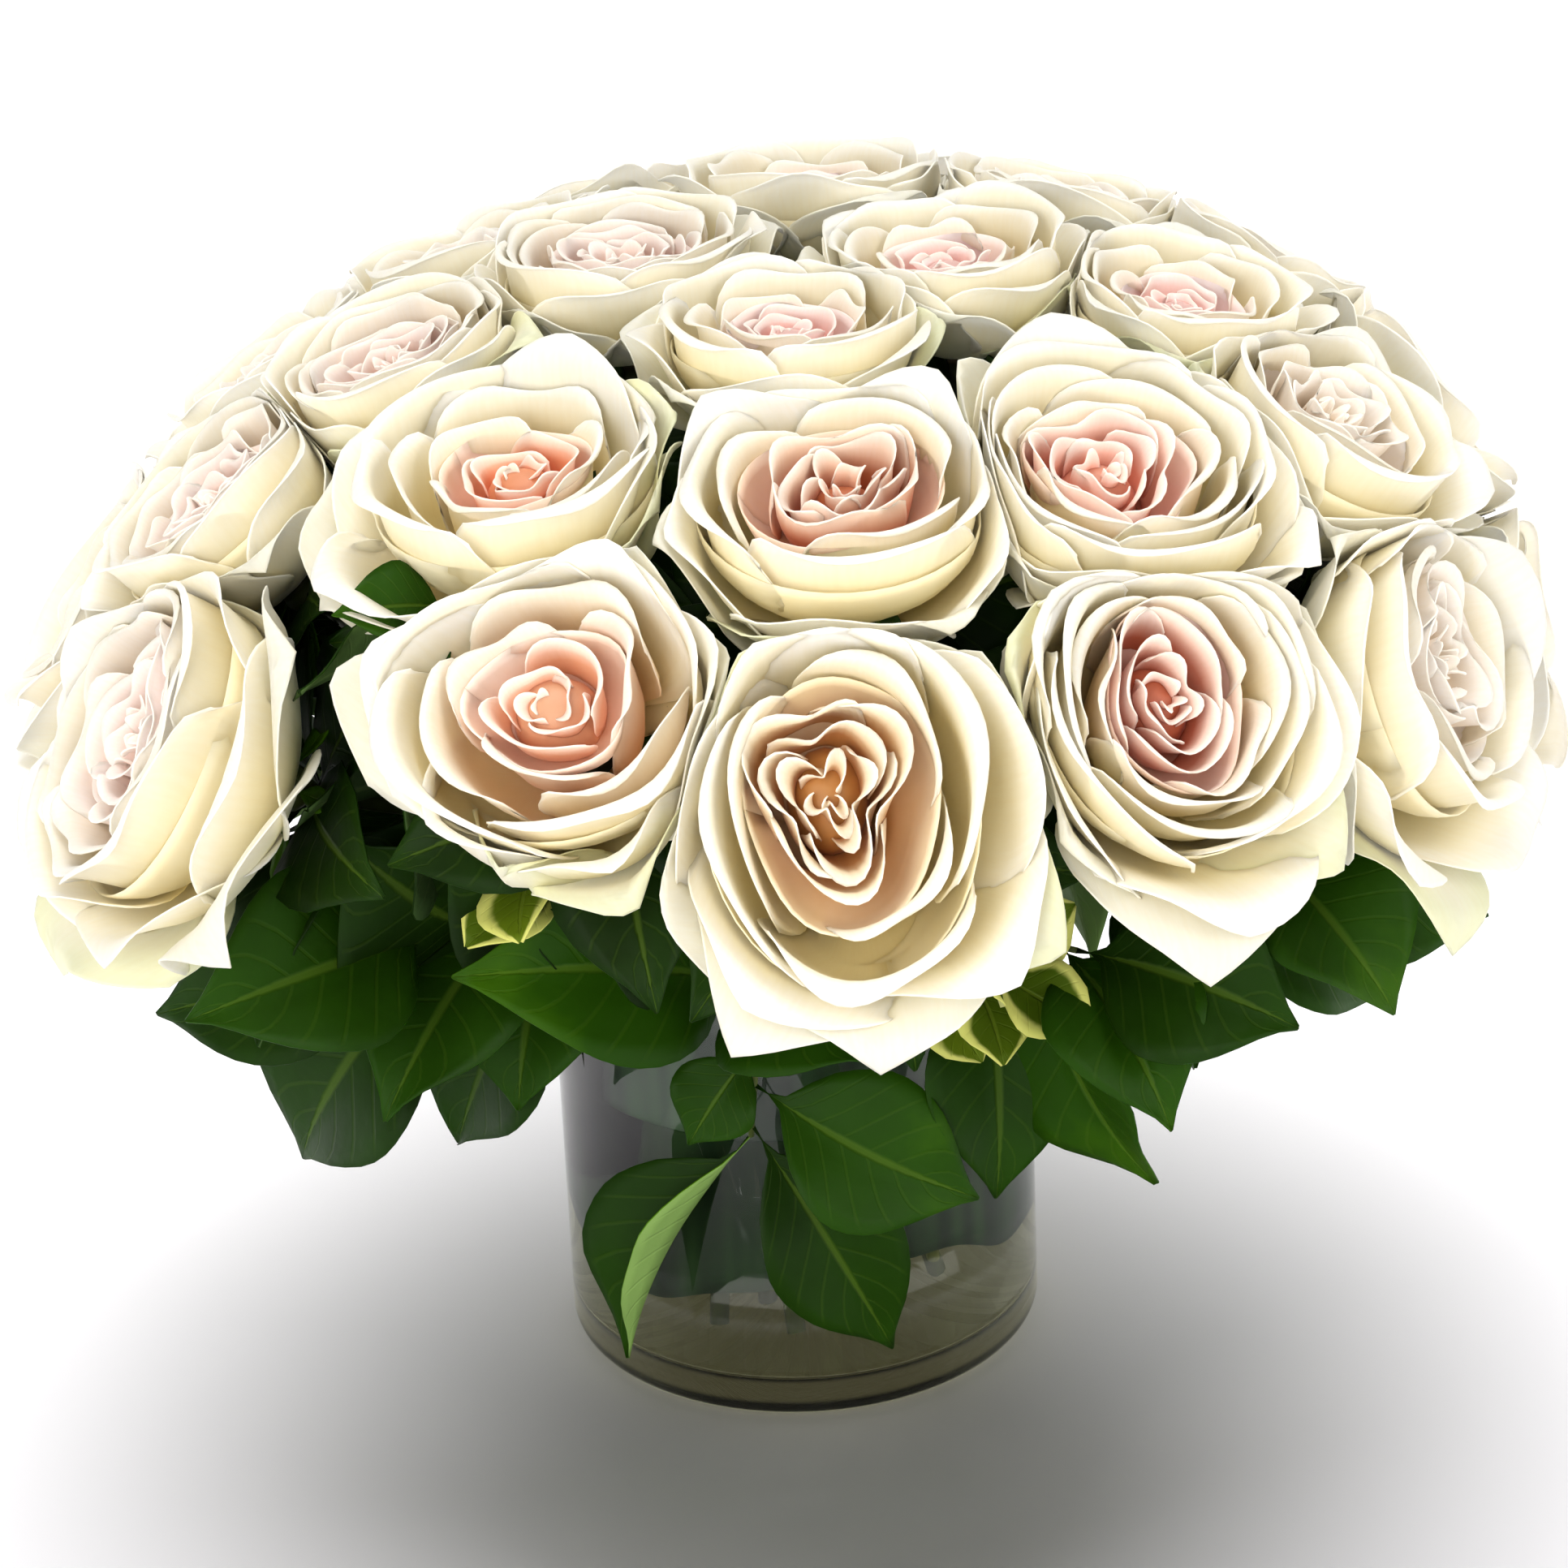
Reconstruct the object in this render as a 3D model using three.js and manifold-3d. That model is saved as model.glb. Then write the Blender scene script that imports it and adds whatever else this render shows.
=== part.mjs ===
// A table centerpiece: a low dome of open garden roses over a collar of leaves, standing in
// a clear glass cylinder with water and a leaf lining. Millimetres, +Z up. The origin is the
// centre of the vase's foot, and azimuth 0 is the front (-Y), growing towards +X.
import * as THREE from 'three';
import { mergeVertices } from 'three/addons/utils/BufferGeometryUtils.js';
import Module from 'manifold-3d';

const wasm = await Module();
wasm.setup();

// ---- Driving dimensions -------------------------------------------------------------

const clearance = 0.4;              // between pieces that touch on the real thing

const vase = { radius: 76, height: 152, wall: 3.2, floor: 12, corner: 5, sides: 36 };
const innerRadius = vase.radius - vase.wall;

const water = { radius: 70.4, bottom: vase.floor + clearance, level: 98 };

const lining = {
  radius: 71.8, thickness: 0.8, top: 141, lowerEdge: 45, wave: 8,
  openHalfAngle: 5, columns: 24, rows: 1,
};

// The dome that the bloom faces lie on: a full ellipsoid that leans a little to +X.
const dome = { radius: 238, height: 205, centre: 160, fullness: 0.78, lean: 0.13, leanFrom: 210 };

const bloom = {
  petals: 5, depth: 47, budHeight: 41, gap: 0.6,
  softFrom: 0.72,                   // share of a bloom's room where its petals start to bend
};

const stem = {
  radius: 2.7, sides: 5, bends: 2, footZ: 16, waistZ: 128, footSpread: 56, waistSpread: 25,
  twist: 60, cupRadius: 7.5, cupDepth: 9, throat: 58,
  core: { radius: 24, height: 7, sides: 10 },
};

const leaf = {
  thickness: 0.8,
  facing: 0.55,                     // how far a leaf's face looks up, for one step outwards
};

// Both kinds of leafy stem, and how their leaves are folded and waved.
const sprayStem = {
  radius: 2.1, tipRadius: 1.2, sides: 4, ring: 62.5, footZ: 40, neckZ: 128, rimZ: 159, rimRadius: 70,
};
const sprayLeaf = { fold: 0.22, wave: 2 };
const sprigStem = {
  radius: 1.6, tipRadius: 1, sides: 4, ring: 63.5, footZ: 52, neckZ: 128, rimZ: 159, rimRadius: 70,
};
const sprigLeaf = {
  count: 7, from: 0.45, turn: 137.508, broadness: 0.55, arch: 2, fold: 0.2,
  leanFrom: 0.35, rise: 0.7,
};

// The roses: azimuth and elevation on the dome, size, and turn about the bloom's own axis.
const roses = [
  [3, 29, 1.1, 18],
  [-23, 37, 1.06, 20],
  [31, 33, 1.04, 48],
  [-64, 22, 1.2, 10],
  [60, 24, 1.12, 70],
  [-43, 58, 1.02, 30],
  [1, 60, 1, 55],
  [37, 57, 1.04, 5],
  [-79, 42, 0.96, 40],
  [70, 50, 0.96, 15],
  [-15, 82, 0.86, 62],
  [-112, 78, 0.9, 25],
  [98, 84, 0.84, 50],
  [-126, 60, 0.92, 0],
  [-84, 61, 0.86, 33],
  [180, 68, 0.92, 12],
  [140, 63, 0.92, 44],
  [84, 67, 0.84, 68],
  [-108, 45, 0.94, 8],
  [-93, 21, 1.02, 52],
  [119, 50, 0.9, 28],
  [101, 35, 0.96, 60],
  [91, 12, 1.0, 18],
  [122, 24, 1.0, 36],
  [146, 36, 0.98, 2],
  [172, 44, 0.96, 58],
  [-152, 50, 0.98, 22],
  [-127, 29, 1.02, 46],
  [160, 16, 1.02, 65],
  [-174, 18, 1.0, 14],
  [-148, 20, 1.02, 38],
];

// Broad-leaved sprays. Each runs out of the vase over its rim and through `path`, and
// carries leaves. Places are [azimuth, radius, height]. A leaf is its place along the
// stem (0 at the rim, 1 at the end), its tip, its width and its arch.
const backSpray = (azimuth, sway) => ({
  rim: azimuth, path: [[azimuth, 112, 174], [azimuth + sway / 4, 152, 180]],
  leaves: [
    [1, [azimuth + sway / 2, 222, 162], 54, 12],
    [0.85, [azimuth - 13, 200, 132 + sway], 50, 12],
    [0.75, [azimuth + 13, 194, 128 - sway], 50, 12],
    [0.5, [azimuth + sway / 3, 164, 100], 50, 12],
    [0.3, [azimuth - 14, 128, 82 - sway], 46, 9],
    [0.35, [azimuth + 14, 126, 84 + sway], 46, 9],
  ],
});

const sprays = [
  {
    rim: -54, path: [[-52, 105, 176], [-50, 138, 184]],
    leaves: [
      [1, [-53, 222, 182], 52, 10],
      [0.85, [-66, 168, 98], 58, 16],
      [0.55, [-44, 176, 142], 50, 10],
      [0.35, [-67, 116, 88], 46, 9],
      [0.3, [-47, 122, 86], 46, 9],
      [0.9, [-73, 204, 146], 46, 10],
    ],
  },
  {
    rim: -9, path: [[-8, 92, 162], [-7, 99, 140], [-9, 93, 112]],
    leaves: [
      [0.22, [-36, 168, 194], 52, 10],
      [0.3, [8, 160, 172], 46, 8],
      [0.55, [-18, 108, 116], 26, 3],
      [0.72, [27, 118, 94], 46, 8],
      [1, [-35, 98, 28], 38, 7],
      [0.94, [16, 95, 34], 38, 7],
    ],
  },
  {
    rim: 38, path: [[39, 100, 170], [42, 128, 172]],
    leaves: [
      [0.4, [32, 112, 88], 46, 9],
      [1, [51, 192, 156], 52, 10],
      [0.75, [46, 150, 96], 48, 10],
      [0.9, [38, 178, 134], 46, 10],
    ],
  },
  {
    rim: 70, path: [[68, 112, 174], [66, 158, 186]],
    leaves: [
      [1, [61, 206, 148], 52, 10],
      [0.95, [74, 222, 160], 46, 8],
      [0.45, [61, 130, 88], 48, 9],
      [0.35, [80, 128, 90], 46, 9],
      [0.75, [78, 188, 122], 48, 10],
    ],
  },
  ...[104, 142, 180, -142, -103].map((azimuth, index) => backSpray(azimuth, index % 2 ? 6 : -6)),
];

// Sprigs of small leaves, by the azimuth of the rim, the route outside it, and the length
// of the leaves that stand round the upper part of the stem.
const sprigs = [
  { rim: -32, path: [[-34, 94, 194], [-32, 138, 216]], leafLength: 28 },
  { rim: 20, path: [[22, 96, 168], [28, 124, 176]], leafLength: 26 },
  { rim: 123, path: [[123, 104, 176], [123, 150, 194]], leafLength: 28 },
  { rim: -122, path: [[-122, 104, 176], [-121, 150, 194]], leafLength: 28 },
];

// ---- Materials ----------------------------------------------------------------------

const finish = (color, roughness, metalness = 0, extra = {}) =>
  new THREE.MeshStandardMaterial({ color, roughness, metalness, ...extra });

const glassFinish = finish(0xdfe6e2, 0.05, 0, { transparent: true, opacity: 0.3 });
const waterFinish = finish(0xa8a68c, 0.05, 0, { transparent: true, opacity: 0.5 });
const liningFinish = finish(0x28372d, 0.4);
const stemFinish = finish(0x4c5a28, 0.55);
const petalFinish = finish(0xfaf4e8, 0.6);
const leafFinish = finish(0x1e3d0c, 0.45);
const sprigFinish = finish(0x5b7014, 0.45);

// ---- Places -------------------------------------------------------------------------

const radians = THREE.MathUtils.degToRad;

function place(azimuth, radius, height) {
  const angle = radians(azimuth);
  return new THREE.Vector3(radius * Math.sin(angle), -radius * Math.cos(angle), height);
}

function onDome(azimuth, elevation) {
  const across = Math.cos(radians(elevation)) ** dome.fullness;
  const up = Math.sin(radians(elevation)) ** dome.fullness;
  const point = place(azimuth, dome.radius * across, dome.centre + dome.height * up);
  point.x += dome.lean * (point.z - dome.leanFrom);
  return point;
}

function domeNormal(azimuth, elevation) {
  const step = 0.5;
  const east = onDome(azimuth + step, elevation).sub(onDome(azimuth - step, elevation));
  const north = onDome(azimuth, elevation + step).sub(onDome(azimuth, elevation - step));
  return east.cross(north).normalize();
}

// ---- Sheets, blades and tubes -------------------------------------------------------

// Joins the corners that fall together and drops the triangles that close up with them.
function welded(geometry) {
  const bare = geometry.clone();
  bare.deleteAttribute('normal');
  bare.deleteAttribute('uv');
  const merged = mergeVertices(bare, 1e-3);
  const kept = [];
  const corner = merged.index.array;
  for (let i = 0; i < corner.length; i += 3) {
    const [a, b, c] = [corner[i], corner[i + 1], corner[i + 2]];
    if (a !== b && b !== c && c !== a) kept.push(a, b, c);
  }
  merged.setIndex(kept);
  return merged;
}

// A grid of columns and rows, each corner laid by point(column, row).
function sheet(columns, rows, point) {
  const grid = new THREE.PlaneGeometry(columns, rows, columns, rows);
  const position = grid.getAttribute('position');
  for (let i = 0; i < position.count; i += 1) {
    const column = Math.round(position.getX(i) + columns / 2);
    const row = Math.round(position.getY(i) + rows / 2);
    const { x, y, z } = point(column, row);
    position.setXYZ(i, x, y, z);
  }
  return welded(grid);
}

// Gives a sheet its thickness. Both faces keep the same triangles, so they never cross.
function thicken(surface, thickness) {
  surface.computeVertexNormals();
  const { position, normal } = surface.attributes;
  const count = position.count;
  const points = [];
  for (const side of [0.5, -0.5]) {
    for (let i = 0; i < count; i += 1) {
      const shift = new THREE.Vector3().fromBufferAttribute(normal, i);
      shift.multiplyScalar(side * thickness);
      shift.add(new THREE.Vector3().fromBufferAttribute(position, i));
      points.push(shift.x, shift.y, shift.z);
    }
  }
  const corner = surface.index.array;
  const edges = new Set();
  const faces = [];
  for (let i = 0; i < corner.length; i += 3) {
    const [a, b, c] = [corner[i], corner[i + 1], corner[i + 2]];
    faces.push(a, b, c, count + c, count + b, count + a);
    for (const [from, to] of [[a, b], [b, c], [c, a]]) edges.add(`${from},${to}`);
  }
  for (const edge of edges) {
    const [a, b] = edge.split(',').map(Number);
    if (!edges.has(`${b},${a}`)) faces.push(b, a, count + a, b, count + a, count + b);
  }
  const body = new THREE.BufferGeometry();
  body.setAttribute('position', new THREE.Float32BufferAttribute(points, 3));
  body.setIndex(faces);
  return body;
}

// A closed tube through points, with a radius at each and flat ends.
function tube(points, radii, sides) {
  const last = points.length - 1;
  const along = points.map((point, i) => {
    const before = points[Math.max(i - 1, 0)];
    const after = points[Math.min(i + 1, last)];
    return after.clone().sub(before).normalize();
  });
  const start = new THREE.Vector3(0, 1, 0).cross(along[0]).normalize();
  const frames = [];
  for (const direction of along) {
    const previous = frames.length ? frames[frames.length - 1].across : start;
    const across = previous.clone().projectOnPlane(direction).normalize();
    frames.push({ across, beside: direction.clone().cross(across) });
  }
  return sheet(sides, points.length + 1, (column, row) => {
    const ring = Math.min(Math.max(row - 1, 0), last);
    const point = points[ring].clone();
    if (row === 0 || row === last + 2) return point;
    const angle = (2 * Math.PI * (column % sides)) / sides;
    point.addScaledVector(frames[ring].across, radii[ring] * Math.cos(angle));
    return point.addScaledVector(frames[ring].beside, radii[ring] * Math.sin(angle));
  });
}

// ---- Joining and cutting ------------------------------------------------------------

function solid(geometry) {
  const { index, attributes } = welded(geometry);
  const triVerts = new Uint32Array(index.array);
  const vertProperties = new Float32Array(attributes.position.array);
  return new wasm.Manifold(new wasm.Mesh({ numProp: 3, vertProperties, triVerts }));
}

const join = (bodies) => bodies.reduce((whole, body) => whole.add(body));

function shown(name, body, material) {
  const { vertProperties, triVerts } = body.getMesh();
  const geometry = new THREE.BufferGeometry();
  geometry.setAttribute('position', new THREE.Float32BufferAttribute(vertProperties, 3));
  geometry.setIndex([...triVerts]);
  geometry.computeVertexNormals();
  const mesh = new THREE.Mesh(geometry, material);
  mesh.name = name;
  return mesh;
}

const numbered = (name, index) => `${name}_${String(index + 1).padStart(2, '0')}`;

// ---- Vase, water and lining ---------------------------------------------------------

const turned = (profile) => new THREE.LatheGeometry(
  profile.map(([radius, height]) => new THREE.Vector2(radius, height)), vase.sides,
).rotateX(Math.PI / 2);

function makeVase() {
  const { radius, height, wall, floor, corner } = vase;
  const inside = innerRadius;
  const lip = wall / 3;
  const fillet = corner * (1 - Math.SQRT1_2);
  return solid(turned([
    [0, 0],
    [radius - corner, 0],
    [radius - fillet, fillet],
    [radius, corner],
    [radius, height - lip],
    [radius - wall / 2, height],
    [inside, height - lip],
    [inside, floor + corner],
    [inside - corner, floor],
    [0, floor],
  ]));
}

// Water up to its level, with a plain hole for each stem that stands in it.
function makeWater(holes) {
  const { radius, bottom, level } = water;
  const chamfer = vase.corner;
  const body = solid(turned([
    [0, bottom],
    [radius - chamfer, bottom],
    [radius, bottom + chamfer],
    [radius, level],
    [0, level],
  ]));
  return holes.reduce((left, hole) => left.subtract(hole), body);
}

// One strap leaf rolled inside the glass, its ends nearly meeting at the back.
function makeLining() {
  const { radius, thickness, top, lowerEdge, wave, openHalfAngle, columns, rows } = lining;
  const span = 360 - 2 * openHalfAngle;
  return solid(thicken(sheet(columns, rows, (column, row) => {
    const azimuth = openHalfAngle - 180 + (span * column) / columns;
    const edge = lowerEdge + wave * Math.sin(radians(3 * azimuth + 40));
    return place(azimuth, radius, edge + ((top - edge) * row) / rows);
  }), thickness));
}

// ---- Roses --------------------------------------------------------------------------

// Where a rose stands: its face on the dome, its axis, and two directions across it.
function standing([azimuth, elevation, size, turn]) {
  const face = onDome(azimuth, elevation);
  const axis = domeNormal(azimuth, elevation);
  const base = face.clone().addScaledVector(axis, -bloom.depth * size);
  const east = new THREE.Vector3(0, 0, 1).cross(axis).normalize();
  const across = east.applyAxisAngle(axis, radians(turn));
  return { face, axis, base, size, across, beside: axis.clone().cross(across) };
}

const placed = roses.map(standing);

// Bends a petal's point towards the bloom's axis where a neighbour's room begins. The
// border between two roses is the plane between their faces, nearer the smaller one.
function inRoom(rose, point) {
  const height = point.clone().sub(rose.base).dot(rose.axis);
  const centre = rose.base.clone().addScaledVector(rose.axis, height);
  const reach = point.clone().sub(centre);
  const margin = bloom.gap / 2;
  let crowding = 0;
  for (const other of placed) {
    if (other === rose) continue;
    const towards = other.face.clone().sub(rose.face);
    const border = (towards.length() * rose.size) / (rose.size + other.size);
    towards.normalize();
    const room = border - margin - towards.dot(centre) + towards.dot(rose.face);
    crowding = Math.max(crowding, towards.dot(reach) / Math.max(room, bloom.gap));
  }
  const { softFrom } = bloom;
  if (crowding <= softFrom) return point;
  const left = 1 - softFrom;
  const bent = softFrom + left * Math.tanh((crowding - softFrom) / left);
  return centre.addScaledVector(reach, bent / crowding);
}

// A point of the bloom from its angle (in petals), radius and height over the base.
function inBloom(rose, petal, radius, height) {
  const angle = (2 * Math.PI * petal) / bloom.petals;
  const point = rose.base.clone().addScaledVector(rose.axis, height * rose.size);
  point.addScaledVector(rose.across, radius * rose.size * Math.cos(angle));
  point.addScaledVector(rose.beside, radius * rose.size * Math.sin(angle));
  return inRoom(rose, point);
}

// A bloom is three whorls of overlapping petals round a bud, as rings of corners from the
// base, out under the guard petals, over their pointed tips, down behind them, and over
// the cupped and the ruffled petals to the middle. Each petal has three corners in a
// ring: one edge is tucked in, and the other lies out over the next petal. `at` is the
// place of a corner within its petal, and the cupped whorl is set half a petal round.
const outerAt = [0.03, 0.5, 0.96];
const cuppedAt = [0.07, 0.54, 0.61];

const bloomRings = [
  { at: outerAt, radius: [28, 32, 34], height: [11, 12, 13] },
  { at: outerAt, radius: [42, 48, 49], height: [27, 30, 28] },
  { at: outerAt, radius: [47, 64, 54], height: [35, 30, 34] },
  { at: outerAt, radius: [44, 49, 52], height: [36.5, 40, 37.5] },
  { at: outerAt, radius: [26, 30, 29.5], height: [24, 25, 25] },
  { at: cuppedAt, radius: [41.5, 43, 36], height: [50, 46, 45] },
  { at: cuppedAt, radius: [28, 30, 25], height: [38, 36, 37] },
  { at: outerAt, radius: [21, 15, 11], height: [45, 50, 47] },
];

function makeBloom(rose) {
  const corners = outerAt.length;
  const columns = bloom.petals * corners;
  return solid(sheet(columns, bloomRings.length + 1, (column, row) => {
    if (row === 0) return inBloom(rose, 0, 0, 0);
    if (row > bloomRings.length) return inBloom(rose, 0, 0, bloom.budHeight);
    const { at, radius, height } = bloomRings[row - 1];
    const index = column % columns;
    const corner = index % corners;
    const petal = Math.floor(index / corners) + at[corner];
    return inBloom(rose, petal, radius[corner], height[corner]);
  }));
}

// ---- Rose stems ---------------------------------------------------------------------

// At the waist each stem has its own place, laid out as the roses are on the dome, and a
// slim core holds them there. Below it they fan out and twist round to their feet.
function stemRoute(rose, [azimuth, elevation]) {
  const share = Math.sqrt(1 - Math.sin(radians(elevation)));
  const foot = place(azimuth + stem.twist, stem.footSpread * share, stem.footZ);
  const waist = place(azimuth, stem.waistSpread * share, stem.waistZ);
  const cupTop = rose.base.clone().addScaledVector(rose.axis, -clearance);
  const cupFoot = cupTop.clone().addScaledVector(rose.axis, -stem.cupDepth);
  const leave = cupFoot.clone().addScaledVector(rose.axis, -stem.throat);
  const arrive = waist.clone().add(new THREE.Vector3(0, 0, stem.throat));
  const curve = new THREE.CubicBezierCurve3(waist, arrive, leave, cupFoot);
  return { foot, waist, curve, cupTop };
}

const routes = placed.map((rose, index) => stemRoute(rose, roses[index]));

function makeRoseStem({ foot, curve, cupTop }) {
  const points = [foot, ...curve.getPoints(stem.bends), cupTop];
  const radii = points.map((_, i) => (i === points.length - 1 ? stem.cupRadius : stem.radius));
  return solid(tube(points, radii, stem.sides));
}

function makeStemCore() {
  const { radius, height, sides } = stem.core;
  const centre = new THREE.Vector3(0, 0, stem.waistZ);
  const ends = [-0.5, 0.5].map((end) => centre.clone().setZ(stem.waistZ + end * height));
  return solid(tube(ends, [radius, radius], sides));
}

// ---- Holes in the water -------------------------------------------------------------

function makeHole(foot, upper, radius, sides) {
  const along = upper.clone().sub(foot).normalize();
  const bottom = foot.clone().addScaledVector(along, -clearance);
  const above = (water.level + 2 * radius - foot.z) / along.z;
  const top = foot.clone().addScaledVector(along, above);
  return solid(tube([bottom, top], [radius + clearance, radius + clearance], sides));
}

// ---- Sprays and sprigs --------------------------------------------------------------

// A leafy stem stands upright in the water inside the lining, bends over the rim and
// runs straight between the places of its path, where it carries its leaves.
function leafyStem({ rim, path }, kind) {
  const foot = place(rim, kind.ring, kind.footZ);
  const neck = place(rim, kind.ring, kind.neckZ);
  const outside = [place(rim, kind.rimRadius, kind.rimZ), ...path.map((spot) => place(...spot))];
  const points = [foot, neck, ...outside];
  const radii = points.map((_, i) => (i === points.length - 1 ? kind.tipRadius : kind.radius));
  const carrying = new THREE.CurvePath();
  outside.slice(1).forEach((spot, i) => carrying.add(new THREE.LineCurve3(outside[i], spot)));
  return { foot, neck, carrying, twig: solid(tube(points, radii, kind.sides)) };
}

const broadLeaf = { rows: [0, 0.2, 0.52, 0.8, 1], half: [0, 0.72, 1, 0.6, 0] };
const smallLeaf = { rows: [0, 0.55, 1], half: [0, 1, 0] };

// A leaf from its root to its tip: arched along its length, folded up from the midrib,
// and waved so that its two edges rise in turn.
function makeLeaf(form, root, tip, { width, arch, fold, wave }) {
  const along = tip.clone().sub(root);
  const out = new THREE.Vector3(root.x + tip.x, root.y + tip.y, 0).normalize();
  out.z = leaf.facing;
  const up = out.projectOnPlane(along.clone().normalize()).normalize();
  const side = along.clone().normalize().cross(up);
  return solid(thicken(sheet(2, form.rows.length - 1, (column, row) => {
    const v = form.rows[row];
    const half = (form.half[row] * width) / 2;
    const edge = column - 1;
    const lift = arch * 4 * v * (1 - v) + half * fold * Math.abs(edge)
      + wave * edge * Math.sin(2 * Math.PI * v) * form.half[row];
    const point = root.clone().addScaledVector(along, v);
    return point.addScaledVector(side, half * edge).addScaledVector(up, lift);
  }), leaf.thickness));
}

function makeSpray(spray) {
  const { twig, carrying, ...route } = leafyStem(spray, sprayStem);
  const blades = spray.leaves.map(([at, tip, width, arch], index) => {
    const { fold, wave } = sprayLeaf;
    const shape = { width, arch, fold, wave: index % 2 ? wave : -wave };
    return makeLeaf(broadLeaf, carrying.getPoint(at), place(...tip), shape);
  });
  return { route, body: join([twig, ...blades]) };
}

// Small leaves follow each other round the stem, the upper ones leaning along it more.
function makeSprig({ leafLength, ...sprig }) {
  const { twig, carrying, ...route } = leafyStem(sprig, sprigStem);
  const { count, from, turn, broadness, arch, fold, leanFrom, rise } = sprigLeaf;
  const shape = { width: leafLength * broadness, arch, fold, wave: 0 };
  const blades = [];
  for (let i = 0; i < count; i += 1) {
    const at = from + ((1 - from) * i) / (count - 1);
    const root = carrying.getPoint(at);
    const along = carrying.getTangent(at);
    const spread = new THREE.Vector3(0, 0, 1).cross(along).normalize();
    spread.applyAxisAngle(along, radians(turn * i));
    const lean = leanFrom + ((1 - leanFrom) * (i + 1)) / count;
    const tip = root.clone().addScaledVector(spread, leafLength * Math.sqrt(1 - (lean * lean) / 2));
    tip.addScaledVector(along, leafLength * lean * rise);
    blades.push(makeLeaf(smallLeaf, root, tip, shape));
  }
  return { route, body: join([twig, ...blades]) };
}

// ---- Assembly -----------------------------------------------------------------------

const centerpiece = new THREE.Group();
const leafy = sprays.map(makeSpray);
const trimmed = sprigs.map(makeSprig);

const holes = [
  ...routes.map(({ foot, waist }) => makeHole(foot, waist, stem.radius, stem.sides)),
  ...leafy.map(({ route }) => makeHole(route.foot, route.neck, sprayStem.radius, sprayStem.sides)),
  ...trimmed.map(({ route }) => makeHole(route.foot, route.neck, sprigStem.radius, sprigStem.sides)),
];

centerpiece.add(shown('vase', makeVase(), glassFinish));
centerpiece.add(shown('water', makeWater(holes), waterFinish));
centerpiece.add(shown('leaf_lining', makeLining(), liningFinish));
centerpiece.add(shown('rose_stems', join([makeStemCore(), ...routes.map(makeRoseStem)]), stemFinish));
placed.forEach((rose, index) => {
  centerpiece.add(shown(numbered('rose_bloom', index), makeBloom(rose), petalFinish));
});
leafy.forEach(({ body }, index) => {
  centerpiece.add(shown(numbered('leaf_spray', index), body, leafFinish));
});
trimmed.forEach(({ body }, index) => {
  centerpiece.add(shown(numbered('edged_sprig', index), body, sprigFinish));
});

export default centerpiece;
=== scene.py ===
import random
from math import cos, pi, radians, sin, sqrt, tau

import bmesh
import bpy
import numpy as np
from mathutils import Matrix, Quaternion, Vector


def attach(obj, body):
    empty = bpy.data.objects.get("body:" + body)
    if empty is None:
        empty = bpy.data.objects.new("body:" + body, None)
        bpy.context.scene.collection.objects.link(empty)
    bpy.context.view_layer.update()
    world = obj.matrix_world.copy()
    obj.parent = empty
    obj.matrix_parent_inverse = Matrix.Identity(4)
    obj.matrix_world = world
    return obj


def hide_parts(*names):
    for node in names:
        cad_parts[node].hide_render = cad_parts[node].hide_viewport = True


# Lengths of the pieces are millimetres, and every finished mesh is scaled to metres. Lengths in
# the finishes and on the stage are metres.
# Azimuth 0 is the front of the arrangement and grows towards +X.
mm = 0.001
forward = Vector((0, -1, 0))
upright = Vector((0, 0, 1))

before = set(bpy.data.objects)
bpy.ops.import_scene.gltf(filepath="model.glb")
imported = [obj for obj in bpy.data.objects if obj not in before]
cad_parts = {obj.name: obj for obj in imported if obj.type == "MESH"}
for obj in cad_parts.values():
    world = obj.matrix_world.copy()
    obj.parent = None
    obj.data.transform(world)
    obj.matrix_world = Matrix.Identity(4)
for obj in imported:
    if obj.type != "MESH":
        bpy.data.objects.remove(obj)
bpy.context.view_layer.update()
scene = bpy.context.scene
print("frame loaded:", len(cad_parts), "nodes")


# --- small helpers ---

def linear(red, green, blue):
    # a colour as a screen shows it, 0 to 255, made linear
    return tuple((c / 255 / 12.92 if c < 10.3 else ((c / 255 + 0.055) / 1.055) ** 2.4)
                 for c in (red, green, blue))


def smooth(value, low=0.0, high=1.0):
    share = min(max((value - low) / (high - low), 0.0), 1.0)
    return share * share * (3 - 2 * share)


def mixed(first, second, share):
    return tuple(a + (b - a) * share for a, b in zip(first, second))


def along(points, share):
    # a smooth curve through evenly spaced points
    last = len(points) - 1
    reached = min(max(share, 0.0), 1.0) * last
    i = min(int(reached), last - 1)
    t = reached - i
    ends = [points[max(i - 1, 0)], points[i], points[i + 1], points[min(i + 2, last)]]
    weights = (-0.5 * t ** 3 + t ** 2 - 0.5 * t, 1.5 * t ** 3 - 2.5 * t ** 2 + 1,
               -1.5 * t ** 3 + 2 * t ** 2 + 0.5 * t, 0.5 * t ** 3 - 0.5 * t ** 2)
    return tuple(sum(w * p[k] for w, p in zip(weights, ends)) for k in range(len(points[0])))


def polar(angle, radius, height):
    return Vector((radius * cos(angle), radius * sin(angle), height))


def place(azimuth, radius, height):
    # the same, counted from the front
    angle = radians(azimuth)
    return Vector((radius * sin(angle), -radius * cos(angle), height))


# --- shader helpers ---

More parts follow.
